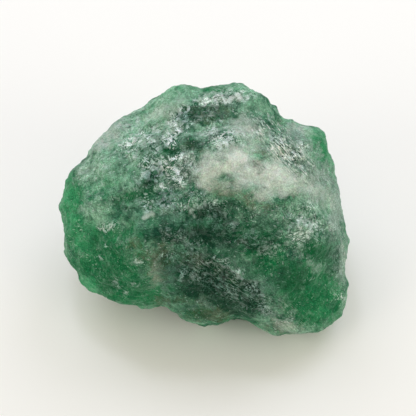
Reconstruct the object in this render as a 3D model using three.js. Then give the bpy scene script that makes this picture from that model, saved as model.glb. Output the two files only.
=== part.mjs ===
// A rough emerald specimen: one broken lump of cloudy green beryl, 34 mm long. Uneven fracture
// faces bound it, with a hollow under its back rim, a slanting ledge across its lower front and a
// lobe at each end. It lies on a small flat parting face.
//
// Every point of a round grid is pushed out from the lump's centre to the distance that
// lumpReach() gives for its direction. That distance starts from a pillow with the lump's outline,
// is cut back by fracture faces, and is then raised and lowered by knobs, ledges and ripples.

import * as THREE from "three";
import { mergeVertices } from "three/addons/utils/BufferGeometryUtils.js";

// Driving dimensions, in millimetres. The outline stands square to a line of sight that looks down
// at OUTLINE_TILT degrees. In that view x runs right, y up and z towards the viewer.
const OUTLINE_TILT = 52;
const FRONT_DEPTH = 11.6;
const BACK_DEPTH = 12.2;
const REST_DEPTH = 11;
const BASE_SHIFT = { x: 0.17, y: 0.11 };
const PILLOW_POWER = 2.4;
const REST_EDGE_ROUNDING = 0.7;
const GRID_DETAIL = 20;

// How the outline's small nicks die away in front of it and behind it, and how wide an average
// makes the broad outline that is left.
const NICK_FADE = 0.3;
const BROAD_WINDOW = 14;
const FINE_WINDOW = 1;

// The outline, anticlockwise from the left end.
const OUTLINE = [
  // Lower left lobe
  [-17.2, 0.4], [-16.8, -0.7], [-16.5, -1.7], [-16.4, -3.1], [-16.4, -4.6], [-16.1, -5.7],
  [-15.0, -7.3], [-14.6, -8.5], [-13.8, -9.4], [-11.9, -10.2], [-10.6, -10.6], [-9.2, -10.8],
  // Under edge, with two bays in it
  [-7.9, -10.9], [-7.3, -11.3], [-6.4, -11.3], [-5.4, -11.0], [-4.3, -11.2], [-3.6, -11.7],
  [-2.7, -12.7], [-0.8, -13.4], [0.0, -13.7], [1.3, -13.5], [3.3, -12.6], [4.3, -12.6],
  [5.4, -13.2], [7.1, -14.1], [8.1, -14.7],
  // Lower right lobe
  [9.1, -14.6], [11.8, -14.4], [13.5, -14.3], [14.6, -13.7], [15.6, -12.9], [16.1, -12.1],
  // Right side
  [16.5, -10.7], [16.5, -9.3], [16.6, -8.3], [16.3, -7.6], [16.4, -6.1], [16.7, -4.6],
  [16.8, -3.6], [16.5, -2.7], [16.2, -0.9], [15.8, 0.8], [15.6, 2.5], [15.2, 4.1],
  [15.0, 5.5], [14.5, 6.9], [14.3, 8.2],
  // Upper right corner and the notch beside it
  [13.9, 9.0], [13.3, 9.6], [12.1, 9.8], [11.1, 10.0], [10.0, 10.6], [9.5, 10.5],
  [8.8, 11.1], [8.3, 12.1], [7.8, 12.1], [7.5, 12.6],
  // Back rim
  [5.8, 13.9], [4.5, 14.9], [3.2, 15.1], [2.6, 14.7], [0.8, 14.6], [-0.5, 14.1],
  [-1.6, 14.3], [-3.5, 14.3], [-4.6, 13.6], [-6.0, 12.9], [-7.3, 12.0],
  // Upper left shoulder
  [-9.0, 11.1], [-10.9, 9.7], [-12.1, 8.5], [-13.3, 7.3], [-13.7, 6.4], [-14.8, 5.5],
  [-15.9, 4.5], [-16.1, 3.5], [-16.5, 2.5], [-16.8, 1.5],
];

// The main fracture faces: where each one looks, and how far it lies from the centre. A face
// cuts no ray that meets it with a cosine below GRAZING.
const EDGE_ROUNDING = 1.2;
const GRAZING = 0.15;
const MAIN_FACES = [
  { looks: [0.05, 0.62, 0.79], reach: 12.4 }, // crest
  { looks: [0.05, -0.38, 0.92], reach: 11.4 }, // front
  { looks: [-0.62, -0.38, 0.68], reach: 13.4 }, // lower left lobe
  { looks: [-0.5, 0.5, 0.7], reach: 12.4 }, // upper left slope
  { looks: [0.6, -0.42, 0.68], reach: 14.6 }, // lower right lobe
  { looks: [0.82, 0.25, 0.52], reach: 14.2 }, // right slope
  { looks: [-0.12, -0.82, 0.56], reach: 12.4 }, // undercut
  { looks: [0.05, 0.93, 0.37], reach: 14.2 }, // back rim
  { looks: [0.0, 0.74, -0.67], reach: 12.6 }, // back
  { looks: [-0.7, 0.3, -0.65], reach: 13.2 }, // back left
  { looks: [0.75, 0.2, -0.63], reach: 13.4 }, // back right
  { looks: [-0.5, -0.36, -0.79], reach: 12.2 }, // under the left lobe
  { looks: [0.36, -0.4, -0.84], reach: 12.6 }, // under the right lobe
];

// Lesser chips all round, flat cuts whose depth differs from one to the next. They are shallow
// where they look sideways in the outline's view, because the outline already holds them, and
// come to full depth as the forward share of their look rises from the first value to the second.
const CHIP_COUNT = 64;
const CHIP_DEPTH = 1.2;
const CHIP_ROUNDING = 0.4;
const CHIP_ONSET = [0.15, 0.6];
const TANGENT_SAMPLES = 2000;

// Knobs and hollows: place in the outline's view, side, rise, half length, half width, and turn in
// degrees from the x axis. A hollow's rise is negative.
const KNOBS = [
  { at: [2.6, 10.2], side: 1, rise: -1.1, size: [4.0, 1.9], turn: 8 }, // hollow under the back rim
  { at: [1.6, 12.8], side: 1, rise: 0.6, size: [3.6, 0.9], turn: 4 }, // lip of the back rim
  { at: [-2.6, 7.0], side: 1, rise: -0.6, size: [1.5, 1.2], turn: 0 }, // dimple beside the crest
  { at: [4.2, 4.8], side: 1, rise: 0.9, size: [5.2, 2.4], turn: -12 }, // crest
  { at: [2.5, -1.2], side: 1, rise: -0.6, size: [5.5, 1.8], turn: -8 }, // trough below the crest
  { at: [-12.2, -6.6], side: 1, rise: 0.6, size: [3.4, 3.0], turn: 30 }, // lower left lobe
  { at: [-5.0, -8.0], side: 1, rise: -0.6, size: [1.6, 4.0], turn: 10 }, // groove beside that lobe
  { at: [9.8, 9.4], side: 1, rise: -0.9, size: [1.2, 3.4], turn: 35 }, // groove behind the notch
  { at: [12.6, 8.2], side: 1, rise: 0.5, size: [1.8, 1.6], turn: 0 }, // upper right corner
  { at: [12.0, -9.0], side: 1, rise: 0.8, size: [3.2, 2.8], turn: -35 }, // lower right lobe
  { at: [7.2, -11.6], side: 1, rise: -0.5, size: [1.4, 3.0], turn: 30 }, // groove beside that lobe
  { at: [-6.0, 4.0], side: -1, rise: 0.7, size: [4.5, 3.0], turn: 25 },
  { at: [6.0, 6.5], side: -1, rise: -0.9, size: [4.0, 2.2], turn: -30 },
  { at: [10.5, -2.5], side: -1, rise: 0.6, size: [2.6, 3.6], turn: 10 },
  { at: [-10.5, -4.5], side: -1, rise: -0.7, size: [2.6, 2.2], turn: 0 },
];

// Ledges: the ground to the right of each line, as one walks from its start to its end, drops at
// the line and comes back to the general level over its reach.
const LEDGE_FADE = 2;
const LEDGES = [
  { from: [-4.2, -2.6], to: [8.6, -10.6], side: 1, drop: 1.0, scarp: 1.3, reach: 4.2 },
  { from: [6.8, 10.8], to: [15.2, 1.8], side: 1, drop: -0.6, scarp: 1.3, reach: 2.6 },
  { from: [-8.0, 9.8], to: [-1.2, 12.6], side: 1, drop: 0.5, scarp: 1.2, reach: 2.2 },
  { from: [9.5, 8.0], to: [-9.0, 9.5], side: -1, drop: 0.9, scarp: 1.5, reach: 4.5 },
];

// Ripples over the whole skin: their wavelength and height. The outline holds its own bumps, so
// only a share of a ripple's height is left beside it, and all of it from RIPPLE_ONSET on. Each
// ripple is a sum of waves whose lengths lie within a share of the stated one.
const RIPPLE_AT_OUTLINE = 0.25;
const RIPPLE_ONSET = 0.4;
const WAVE_LENGTHS = [0.7, 1.3];
const PHASE_SEED = 500;
const RIPPLE_SEED_STEP = 100;
const RIPPLES = [
  { length: 8.5, height: 0.3 },
  { length: 4.0, height: 0.16 },
  { length: 2.2, height: 0.08 },
];
const WAVES_PER_RIPPLE = 14;

const GOLDEN_TURN = Math.PI * (3 - Math.sqrt(5));
const dot = (a, b) => a[0] * b[0] + a[1] * b[1] + a[2] * b[2];
const scaled = (a, k) => [a[0] * k, a[1] * k, a[2] * k];
const clamp = THREE.MathUtils.clamp;
const smoothstep = THREE.MathUtils.smoothstep;

// A repeatable number from 0 to 1 for each whole number.
function scatter(k) {
  const x = Math.sin(k * 12.9898 + 4.1414) * 43758.5453;
  return x - Math.floor(x);
}

// Directions spread evenly over a ball, along a spiral.
function evenDirections(count) {
  return Array.from({ length: count }, (_, k) => {
    const z = 1 - (2 * k + 1) / count;
    const flat = Math.sqrt(1 - z * z);
    return [flat * Math.cos(k * GOLDEN_TURN), flat * Math.sin(k * GOLDEN_TURN), z];
  });
}

// The lesser of two distances, rounded off where they are within `rounding` of each other.
function softMin(a, b, rounding) {
  const near = Math.max(rounding - Math.abs(a - b), 0) / rounding;
  return Math.min(a, b) - (near * near * rounding) / 4;
}

// The outline's distance from the centre at each whole degree.
function outlineByDegree(points) {
  const polar = points
    .map(([x, y]) => ({
      angle: THREE.MathUtils.euclideanModulo(THREE.MathUtils.radToDeg(Math.atan2(y, x)), 360),
      reach: Math.hypot(x, y),
    }))
    .sort((a, b) => a.angle - b.angle);
  const last = polar[polar.length - 1];
  const ring = [{ ...last, angle: last.angle - 360 }, ...polar, { ...polar[0], angle: polar[0].angle + 360 }];
  return Array.from({ length: 360 }, (_, degree) => {
    const k = ring.findIndex((p) => p.angle > degree);
    const [a, b] = [ring[k - 1], ring[k]];
    return THREE.MathUtils.mapLinear(degree, a.angle, b.angle, a.reach, b.reach);
  });
}

// Each value's average with its neighbours up to `window` places away.
function ringAverage(values, window) {
  return values.map((_, k) => {
    let sum = 0;
    for (let j = -window; j <= window; j++) sum += values[(k + j + values.length) % values.length];
    return sum / (2 * window + 1);
  });
}

// A ring of whole-degree values, read at any angle in radians.
function readRing(values, angle) {
  const degree = THREE.MathUtils.euclideanModulo(THREE.MathUtils.radToDeg(angle), 360);
  const k = Math.floor(degree);
  return THREE.MathUtils.lerp(values[k % 360], values[(k + 1) % 360], degree - k);
}

const fineOutline = ringAverage(outlineByDegree(OUTLINE), FINE_WINDOW);
const broadOutline = ringAverage(fineOutline, BROAD_WINDOW);

// The pillow: the broad outline drawn out to the front and back depths, as a superellipse.
function pillowReach([x, y, z]) {
  const across = Math.hypot(x, y) / readRing(broadOutline, Math.atan2(y, x));
  const along = Math.abs(z) / (z > 0 ? FRONT_DEPTH : BACK_DEPTH);
  return (across ** PILLOW_POWER + along ** PILLOW_POWER) ** (-1 / PILLOW_POWER);
}

// The point of the pillow that shows at a place in the outline's view, on its front or back.
function onPillow([x, y], side) {
  const across = Math.hypot(x, y) / readRing(broadOutline, Math.atan2(y, x));
  const depth = side > 0 ? FRONT_DEPTH : BACK_DEPTH;
  return [x, y, side * depth * (1 - Math.min(across, 1) ** PILLOW_POWER) ** (1 / PILLOW_POWER)];
}

const pillowPoints = evenDirections(TANGENT_SAMPLES).map((d) => scaled(d, pillowReach(d)));

// Chips lie square to evenly spread directions, a little inside the pillow's own tangent plane.
const chips = evenDirections(CHIP_COUNT).map((looks, k) => {
  const tangent = Math.max(...pillowPoints.map((p) => dot(p, looks)));
  const cut = CHIP_DEPTH * scatter(k) * smoothstep(Math.abs(looks[2]), ...CHIP_ONSET);
  return { looks, reach: tangent - cut };
});

const mainFaces = MAIN_FACES.map(({ looks, reach }) => ({
  looks: scaled(looks, 1 / Math.hypot(...looks)),
  reach,
}));

// Where a ray from the centre meets the nearest of several flat faces, softened at their edges.
function cutByFaces(reach, direction, faces, rounding) {
  for (const face of faces) {
    const facing = dot(face.looks, direction);
    if (facing > GRAZING) reach = softMin(reach, face.reach / facing, rounding);
  }
  return reach;
}

// A knob is a bell curve on its own turned long and short axes, as deep as it is long.
function knobRise(point, { at, side, rise, size, turn }) {
  const centre = onPillow(at, side);
  const t = THREE.MathUtils.degToRad(turn);
  const [dx, dy, dz] = [point[0] - centre[0], point[1] - centre[1], point[2] - centre[2]];
  const along = (dx * Math.cos(t) + dy * Math.sin(t)) / size[0];
  const across = (dy * Math.cos(t) - dx * Math.sin(t)) / size[1];
  const deep = dz / Math.max(...size);
  return rise * Math.exp(-(along * along + across * across + deep * deep));
}

// A ledge drops within its scarp's width and recovers as a bell curve, and fades past its two ends.
function ledgeRise(point, { from, to, side, drop, scarp, reach }) {
  const length = Math.hypot(to[0] - from[0], to[1] - from[1]);
  const [ux, uy] = [(to[0] - from[0]) / length, (to[1] - from[1]) / length];
  const [dx, dy] = [point[0] - from[0], point[1] - from[1]];
  const along = dx * ux + dy * uy;
  const right = dx * uy - dy * ux;
  const ends = smoothstep(along, -LEDGE_FADE, LEDGE_FADE) * smoothstep(length - along, -LEDGE_FADE, LEDGE_FADE);
  const facing = smoothstep(side * point[2], 0, LEDGE_FADE * 2);
  const step = smoothstep(right, -scarp / 2, scarp / 2) * Math.exp(-((Math.max(right, 0) / reach) ** 2));
  return -drop * step * ends * facing;
}

const waveDirections = evenDirections(WAVES_PER_RIPPLE);

// A ripple is a sum of sine waves that run every way, with lengths about the stated one.
function rippleRise(point, { length, height }, seed) {
  let sum = 0;
  waveDirections.forEach((direction, k) => {
    const own = length * THREE.MathUtils.lerp(...WAVE_LENGTHS, scatter(seed + k));
    const phase = 2 * Math.PI * scatter(seed + k + PHASE_SEED);
    sum += Math.sin((2 * Math.PI * dot(direction, point)) / own + phase);
  });
  return (height * sum) / Math.sqrt(WAVES_PER_RIPPLE / 2);
}

// The lump's distance from its centre in one direction of the outline's view.
function lumpReach(direction) {
  let reach = pillowReach(direction);
  reach = cutByFaces(reach, direction, mainFaces, EDGE_ROUNDING);
  reach = cutByFaces(reach, direction, chips, CHIP_ROUNDING);
  const point = scaled(direction, reach);
  const angle = Math.atan2(direction[1], direction[0]);
  const nick = readRing(fineOutline, angle) - readRing(broadOutline, angle);
  reach += nick * Math.exp(-((direction[2] / NICK_FADE) ** 2));
  for (const knob of KNOBS) reach += knobRise(point, knob);
  for (const ledge of LEDGES) reach += ledgeRise(point, ledge);
  const open = smoothstep(Math.abs(direction[2]), 0, RIPPLE_ONSET);
  const share = THREE.MathUtils.lerp(RIPPLE_AT_OUTLINE, 1, open);
  RIPPLES.forEach((ripple, k) => {
    reach += share * rippleRise(point, ripple, RIPPLE_SEED_STEP * (k + 1));
  });
  return reach;
}

// The round grid in the part's own frame, with each point pushed out to the lump's skin and the
// underside cut flat where the lump rests.
function lumpGeometry() {
  const grid = new THREE.IcosahedronGeometry(1, GRID_DETAIL);
  grid.deleteAttribute("normal");
  grid.deleteAttribute("uv");
  const geometry = mergeVertices(grid);
  const tilt = THREE.MathUtils.degToRad(OUTLINE_TILT);
  const [sin, cos] = [Math.sin(tilt), Math.cos(tilt)];
  const position = geometry.getAttribute("position");
  for (let i = 0; i < position.count; i++) {
    const d = new THREE.Vector3().fromBufferAttribute(position, i).normalize();
    const inView = [d.x, d.y * sin + d.z * cos, d.z * sin - d.y * cos];
    const toRestFace = d.z < 0 ? REST_DEPTH / -d.z : Infinity;
    d.multiplyScalar(softMin(lumpReach(inView), toRestFace, REST_EDGE_ROUNDING));
    position.setXYZ(i, d.x + BASE_SHIFT.x, d.y + BASE_SHIFT.y, d.z + REST_DEPTH);
  }
  geometry.computeVertexNormals();
  return geometry;
}

const emeraldLump = new THREE.Mesh(
  lumpGeometry(),
  new THREE.MeshStandardMaterial({ color: 0x4f8262, roughness: 0.55, metalness: 0 }),
);
emeraldLump.name = "emerald_lump";

const specimen = new THREE.Group();
specimen.add(emeraldLump);

export default specimen;
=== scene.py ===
"""A rough emerald specimen lying on white paper: one broken lump of cloudy green beryl.

The lump's skin has the plain solid's own shape, worked out again on a much finer grid, with the
grain and fibres of its broken faces added. Its colours are clouds and bands of mineral, placed on
the side that shows and left to chance on the hidden side. Some of that colour is painted light and
shade: a glow on thin edges and rims, glints, a sheen down the edges, the lit and shaded sides of
small pits, and shade on the lower faces, in the hollows and in grooves.
"""

import itertools
import math

import bpy
import numpy as np
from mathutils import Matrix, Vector


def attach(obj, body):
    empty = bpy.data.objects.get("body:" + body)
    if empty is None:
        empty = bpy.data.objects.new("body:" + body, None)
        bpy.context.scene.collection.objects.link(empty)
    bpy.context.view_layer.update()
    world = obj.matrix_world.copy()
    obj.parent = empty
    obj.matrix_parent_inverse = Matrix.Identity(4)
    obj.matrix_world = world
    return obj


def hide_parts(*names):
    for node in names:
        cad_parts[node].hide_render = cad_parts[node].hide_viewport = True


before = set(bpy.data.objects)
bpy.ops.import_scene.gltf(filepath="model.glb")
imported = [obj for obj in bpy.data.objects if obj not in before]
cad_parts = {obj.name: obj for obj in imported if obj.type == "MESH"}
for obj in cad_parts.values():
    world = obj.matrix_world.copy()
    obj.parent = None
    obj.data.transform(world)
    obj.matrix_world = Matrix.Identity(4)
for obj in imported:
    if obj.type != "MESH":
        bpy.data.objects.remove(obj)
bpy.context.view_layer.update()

bl_info = {
    "name": "Emerald specimen",
    "version": (1, 0, 0),
    "blender": (4, 5, 0),
    "location": "View3D > Sidebar > Specimen",
    "description": "Makes a rough emerald specimen and the paper, light and camera around it",
    "category": "Add Mesh",
}

MM = 0.001
TINY = 1e-9

# The lump's shape, in millimetres, as in the solid. Its outline stands square to a line of sight
# that looks down at OUTLINE_TILT. In that view x runs right, y up and z towards the viewer.
OUTLINE_TILT = math.radians(52)
FRONT_DEPTH = 11.6
BACK_DEPTH = 12.2
REST_DEPTH = 11
BODY_CENTRE = np.array([0.17, 0.11, REST_DEPTH])
PILLOW_POWER = 2.4
REST_EDGE_ROUNDING = 0.7

# How the outline's small nicks die away in front of it and behind it, and how wide an average
# makes the broad outline that is left.
NICK_FADE = 0.3
BROAD_WINDOW = 14
FINE_WINDOW = 1

# The outline, anticlockwise from the left end.
OUTLINE = (
    # Lower left lobe
    (-17.2, 0.4), (-16.8, -0.7), (-16.5, -1.7), (-16.4, -3.1), (-16.4, -4.6), (-16.1, -5.7),
    (-15.0, -7.3), (-14.6, -8.5), (-13.8, -9.4), (-11.9, -10.2), (-10.6, -10.6), (-9.2, -10.8),
    # Under edge, with two bays in it
    (-7.9, -10.9), (-7.3, -11.3), (-6.4, -11.3), (-5.4, -11.0), (-4.3, -11.2), (-3.6, -11.7),
    (-2.7, -12.7), (-0.8, -13.4), (0.0, -13.7), (1.3, -13.5), (3.3, -12.6), (4.3, -12.6),
    (5.4, -13.2), (7.1, -14.1), (8.1, -14.7),
    # Lower right lobe
    (9.1, -14.6), (11.8, -14.4), (13.5, -14.3), (14.6, -13.7), (15.6, -12.9), (16.1, -12.1),
    # Right side
    (16.5, -10.7), (16.5, -9.3), (16.6, -8.3), (16.3, -7.6), (16.4, -6.1), (16.7, -4.6),
    (16.8, -3.6), (16.5, -2.7), (16.2, -0.9), (15.8, 0.8), (15.6, 2.5), (15.2, 4.1),
    (15.0, 5.5), (14.5, 6.9), (14.3, 8.2),
    # Upper right corner and the notch beside it
    (13.9, 9.0), (13.3, 9.6), (12.1, 9.8), (11.1, 10.0), (10.0, 10.6), (9.5, 10.5),
    (8.8, 11.1), (8.3, 12.1), (7.8, 12.1), (7.5, 12.6),
    # Back rim
    (5.8, 13.9), (4.5, 14.9), (3.2, 15.1), (2.6, 14.7), (0.8, 14.6), (-0.5, 14.1),
    (-1.6, 14.3), (-3.5, 14.3), (-4.6, 13.6), (-6.0, 12.9), (-7.3, 12.0),
    # Upper left shoulder
    (-9.0, 11.1), (-10.9, 9.7), (-12.1, 8.5), (-13.3, 7.3), (-13.7, 6.4), (-14.8, 5.5),
    (-15.9, 4.5), (-16.1, 3.5), (-16.5, 2.5), (-16.8, 1.5),
)

# The main fracture faces: where each one looks, and how far it lies from the centre. A face
# cuts no ray that meets it with a cosine below GRAZING.
EDGE_ROUNDING = 1.2
GRAZING = 0.15
MAIN_FACES = (
    ((0.05, 0.62, 0.79), 12.4),  # crest
    ((0.05, -0.38, 0.92), 11.4),  # front
    ((-0.62, -0.38, 0.68), 13.4),  # lower left lobe
    ((-0.5, 0.5, 0.7), 12.4),  # upper left slope
    ((0.6, -0.42, 0.68), 14.6),  # lower right lobe
    ((0.82, 0.25, 0.52), 14.2),  # right slope
    ((-0.12, -0.82, 0.56), 12.4),  # undercut
    ((0.05, 0.93, 0.37), 14.2),  # back rim
    ((0.0, 0.74, -0.67), 12.6),  # back
    ((-0.7, 0.3, -0.65), 13.2),  # back left
    ((0.75, 0.2, -0.63), 13.4),  # back right
    ((-0.5, -0.36, -0.79), 12.2),  # under the left lobe
    ((0.36, -0.4, -0.84), 12.6),  # under the right lobe
)

# Lesser chips all round, flat cuts whose depth differs from one to the next. They are shallow
# where they look sideways in the outline's view, because the outline already holds them, and
# come to full depth as the forward share of their look rises from the first value to the second.
CHIP_COUNT = 64
CHIP_DEPTH = 1.2
CHIP_ROUNDING = 0.4
CHIP_ONSET = (0.15, 0.6)
TANGENT_SAMPLES = 2000

# Knobs and hollows: x and y in the outline's view, side, rise, half length, half width, and turn
# in degrees. A hollow's rise is negative.
KNOBS = (
    (2.6, 10.2, 1, -1.1, 4.0, 1.9, 8),  # hollow under the back rim
    (1.6, 12.8, 1, 0.6, 3.6, 0.9, 4),  # lip of the back rim
    (-2.6, 7.0, 1, -0.6, 1.5, 1.2, 0),  # dimple beside the crest
    (4.2, 4.8, 1, 0.9, 5.2, 2.4, -12),  # crest
    (2.5, -1.2, 1, -0.6, 5.5, 1.8, -8),  # trough below the crest
    (-12.2, -6.6, 1, 0.6, 3.4, 3.0, 30),  # lower left lobe
    (-5.0, -8.0, 1, -0.6, 1.6, 4.0, 10),  # groove beside that lobe
    (9.8, 9.4, 1, -0.9, 1.2, 3.4, 35),  # groove behind the notch
    (12.6, 8.2, 1, 0.5, 1.8, 1.6, 0),  # upper right corner
    (12.0, -9.0, 1, 0.8, 3.2, 2.8, -35),  # lower right lobe
    (7.2, -11.6, 1, -0.5, 1.4, 3.0, 30),  # groove beside that lobe
    (-6.0, 4.0, -1, 0.7, 4.5, 3.0, 25),
    (6.0, 6.5, -1, -0.9, 4.0, 2.2, -30),
    (10.5, -2.5, -1, 0.6, 2.6, 3.6, 10),
    (-10.5, -4.5, -1, -0.7, 2.6, 2.2, 0),
)

# Ledges: start x and y, end x and y, side, drop to the right of the line, and reach of the drop.
# A ledge fades out over LEDGE_FADE past its ends. The solid's scarps are wider, because its grid
# is coarser.
SCARP_WIDTH = 0.7
LEDGE_FADE = 2
LEDGES = (
    (-4.2, -2.6, 8.6, -10.6, 1, 1.0, 4.2),
    (6.8, 10.8, 15.2, 1.8, 1, -0.6, 2.6),
    (-8.0, 9.8, -1.2, 12.6, 1, 0.5, 2.2),
    (9.5, 8.0, -9.0, 9.5, -1, 0.9, 4.5),
)

# Nicks and burrs of the outline that the solid's grid is too coarse for, as the knobs above.
NICKS = (
    (8.3, 12.3, 1, 0.4, 0.5, 0.5, 0),
    (7.7, 12.4, 1, -0.3, 0.4, 0.4, 0),
    (9.4, 10.6, 1, -0.5, 0.5, 0.4, 0),
    (10.2, 10.6, 1, 0.3, 0.6, 0.4, 0),
    (4.3, 14.9, 1, 0.2, 0.8, 0.5, 0),
    (-0.6, 14.5, 1, -0.2, 0.9, 0.6, 0),
    (-4.3, 13.7, 1, -0.2, 0.7, 0.7, 0),
    (16.9, -3.5, 1, 0.35, 0.5, 0.6, 0),
    (16.6, -6.1, 1, -0.25, 0.8, 0.9, 0),
    (16.9, -8.4, 1, 0.35, 0.5, 0.5, 0),
    (14.6, 7.0, 1, -0.15, 0.5, 0.5, 0),
    (-16.4, -1.5, 1, -0.2, 0.6, 0.6, 0),
    (-17.0, 0.6, 1, 0.15, 0.6, 0.6, 0),
    (-12.4, -9.9, 1, -0.2, 0.5, 0.5, 0),
    (-5.5, -11.4, 1, -0.25, 0.8, 0.6, 0),
    (-3.0, -12.6, 1, 0.2, 0.5, 0.5, 0),
    (4.4, -12.5, 1, -0.3, 0.8, 0.6, 0),
)

# Ripples over the whole skin: their wavelength and height. The outline holds its own bumps, so
# only a share of a ripple's height is left beside it, and all of it from RIPPLE_ONSET on. Each
# ripple is a sum of waves whose lengths lie within a share of the stated one. Ripples shorter than
# FREE_RIPPLE are finer than the solid's grid can hold, and run over the outline at full height.
RIPPLE_AT_OUTLINE = 0.25
RIPPLE_ONSET = 0.4
WAVE_LENGTHS = (0.7, 1.3)
PHASE_SEED = 500
RIPPLE_SEED_STEP = 100
RIPPLES = ((8.5, 0.3), (4.0, 0.16), (2.2, 0.08), (1.2, 0.045), (0.7, 0.022))
FREE_RIPPLE = 1.5
WAVES_PER_RIPPLE = 14
GOLDEN_TURN = math.pi * (3 - math.sqrt(5))

# Chance for the flat facets of sugary grain. A grain's number is a seed and its three
# whole-number places, each times its stride. Steps on from that number give its seed point, and
# steps on from a later start give its slope.
GRAIN_SEED = 40
GRAIN_STRIDES = np.array([1.0, 57.0, 113.0])
GRAIN_POINT_STEP = 0.37
GRAIN_SLOPE_STEP = 0.53
GRAIN_SLOPE_START = 5

# Grains and fibres rise to their full height as a direction's forward share goes from the first
# value to the second, which leaves the outline clean.
GRAIN_ONSET = (0.05, 0.45)

# The camera, and the middle and width in millimetres of what it frames where the outline stands.
CAMERA_LENS = 135
CAMERA_SENSOR = 36
CAMERA_CLIP = 5 * MM
FRAME_WIDTH = 48.8
FRAME_CENTRE = (0.35, 0.23)
EYE_DISTANCE = FRAME_WIDTH * CAMERA_LENS / CAMERA_SENSOR

# Patches of mineral, and of painted light and shade, on the side that shows: x, y, half length and
# half width in millimetres, turn in degrees, and strength. A patch's x and y are where the camera
# sees it in the outline's view.
# Small patches mend the larger ones that they lie on.

# White clouds of fluid, the large one beside the crest
MILK_PATCHES = (
    (3.9, -7.9, 0.9, 0.2, -52, 0.6),
    (5.7, -9.5, 0.7, 0.3, -28, 0.5),
    (7.4, -11.4, 0.6, 0.4, -35, 0.3),
    (9.3, -13.5, 2.1, 0.5, -30, 0.2),
    (-6.8, -0.6, 0.7, 0.5, 0, 1.0),
    (8.3, 5.3, 1.1, 0.8, 0, 0.4),
    (-4.7, -0.1, 0.6, 0.4, 0, 0.3),
    (8.3, 7.0, 1.1, 0.8, 45, 0.35),
    (-1.6, -0.4, 0.5, 0.4, 0, 0.8),
    (3.6, 13.2, 1.1, 0.3, -8, 0.55),
    (10.0, 2.0, 1.2, 0.6, 0, 0.3),
    (0.5, 4.9, 1.4, 1.3, 0, 0.7),
    (3.8, 6.1, 1.6, 0.9, 0, 0.9),
    (4.8, 4.1, 1.4, 1.4, 0, 0.7),
    (7.9, 3.8, 2.7, 1.8, -10, 0.82),
    (6.7, 1.6, 1.1, 0.7, 0, 0.6),
    (11.6, 3.0, 2.1, 1.2, -30, 0.45),
    (2.6, 7.3, 1.4, 0.7, 0, 0.6),
    (4.8, 9.6, 2.3, 1.2, -10, 0.6),
    (11.4, 9.4, 1.4, 0.5, -20, 0.35),
    (0.9, 6.6, 1.4, 0.6, 0, 0.5),
    (5.3, 7.5, 1.4, 0.8, 0, 0.45),
    (-12.5, 0.1, 1.6, 1.6, 20, 0.1),
    (14.1, 1.2, 1.6, 1.2, -40, 0.3),
    (-11.4, 8.4, 2.1, 1.2, 38, 0.3),
    (-6.7, -0.4, 0.5, 0.5, 0, 0.9),
    (2.0, 13.0, 2.6, 0.4, 4, 0.6),
    (-5.7, -7.3, 0.8, 1.9, -10, 0.25),
    (11.1, -2.5, 0.9, 1.4, 15, 0.25),
    (9.7, -13.8, 2.1, 0.7, -14, 0.2),
    (-6.4, 8.2, 1.9, 0.6, 15, 0.35),
    (-3.6, 9.6, 0.9, 1.2, 35, 0.35),
    (-14.4, 4.5, 1.1, 0.6, 40, 0.3),
    (-4.7, 0.0, 0.8, 0.6, 0, 0.3),
    (-4.7, 11.7, 2.8, 0.8, 25, 0.4),
    (0.1, 2.8, 1.2, 0.8, 0, 0.4),
    (2.7, 5.0, 1.2, 0.8, 0, 0.75),
    (2.7, 2.8, 1.6, 0.9, 0, 0.35),
    (-0.4, 3.5, 0.9, 0.8, 0, 0.5),
)

# Dark bands of mica flakes, under the back rim, across the middle and on the lower facet. Under the
# back rim and on the lower facet they also paint the shade of that hollow and of the underside.
MICA_PATCHES = (
    (-6.2, 3.4, 1.1, 0.8, 0, 0.4),
    (-2.2, -7.3, 0.9, 1.2, 0, 0.8),
    (-3.4, -10.8, 1.6, 0.7, -10, 0.3),
    (0.0, 11.4, 3.5, 1.2, 2, 0.6),
    (-1.3, 7.7, 1.1, 0.9, 0, 0.85),
    (0.4, 0.0, 1.9, 0.9, 0, 0.9),
    (3.3, 0.7, 1.4, 0.7, -10, 0.55),
    (5.3, -0.5, 1.5, 0.8, -20, 0.55),
    (-3.9, -7.5, 1.2, 1.1, 0, 0.4),
    (1.8, -1.3, 1.6, 0.8, 0, 0.5),
    (4.6, -1.4, 2.1, 1.2, -15, 0.3),
    (-4.1, -2.8, 2.8, 1.4, 5, 0.8),
    (0.2, -3.2, 3.0, 1.3, -5, 0.85),
    (1.1, -8.1, 3.3, 1.6, -25, 0.95),
    (-1.6, -9.1, 1.6, 1.3, -10, 0.9),
    (5.5, -9.0, 1.6, 0.7, -40, 0.9),
    (3.4, -10.6, 3.8, 1.3, -14, 0.9),
    (3.6, -11.4, 3.0, 0.9, -14, 0.8),
    (12.9, -4.8, 1.6, 0.9, -10, 0.2),
    (3.0, 3.3, 0.9, 0.5, -20, 0.25),
    (6.2, 4.8, 0.5, 0.9, 0, 0.5),
    (6.4, 6.8, 0.7, 0.4, 0, 0.15),
    (9.6, 1.5, 0.7, 0.4, 0, 0.5),
    (12.3, 3.4, 0.4, 0.7, 20, 0.35),
    (4.3, -4.0, 3.5, 1.1, -10, 0.6),
    (8.3, -4.2, 1.9, 1.2, -10, 0.5),
    (-6.2, 3.8, 0.9, 0.8, 0, 0.4),
    (0.1, 9.5, 1.1, 0.7, 0, 0.25),
    (-9.0, 9.7, 0.4, 0.2, 0, 0.6),
    (-6.4, -3.0, 2.1, 0.9, 0, 0.5),
    (7.6, 10.8, 1.2, 0.8, -35, 0.15),
    (-0.6, -12.4, 2.6, 0.8, -10, 0.5),
    (-8.8, 0.5, 1.4, 0.8, 0, 0.35),
    (-2.1, -7.2, 0.9, 0.7, 0, 0.6),
    (1.3, -9.0, 2.1, 0.9, -25, 0.6),
    (1.2, 0.0, 0.7, 0.7, 0, 0.3),
    (1.1, -5.7, 1.6, 0.6, -28, 0.5),
)

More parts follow.
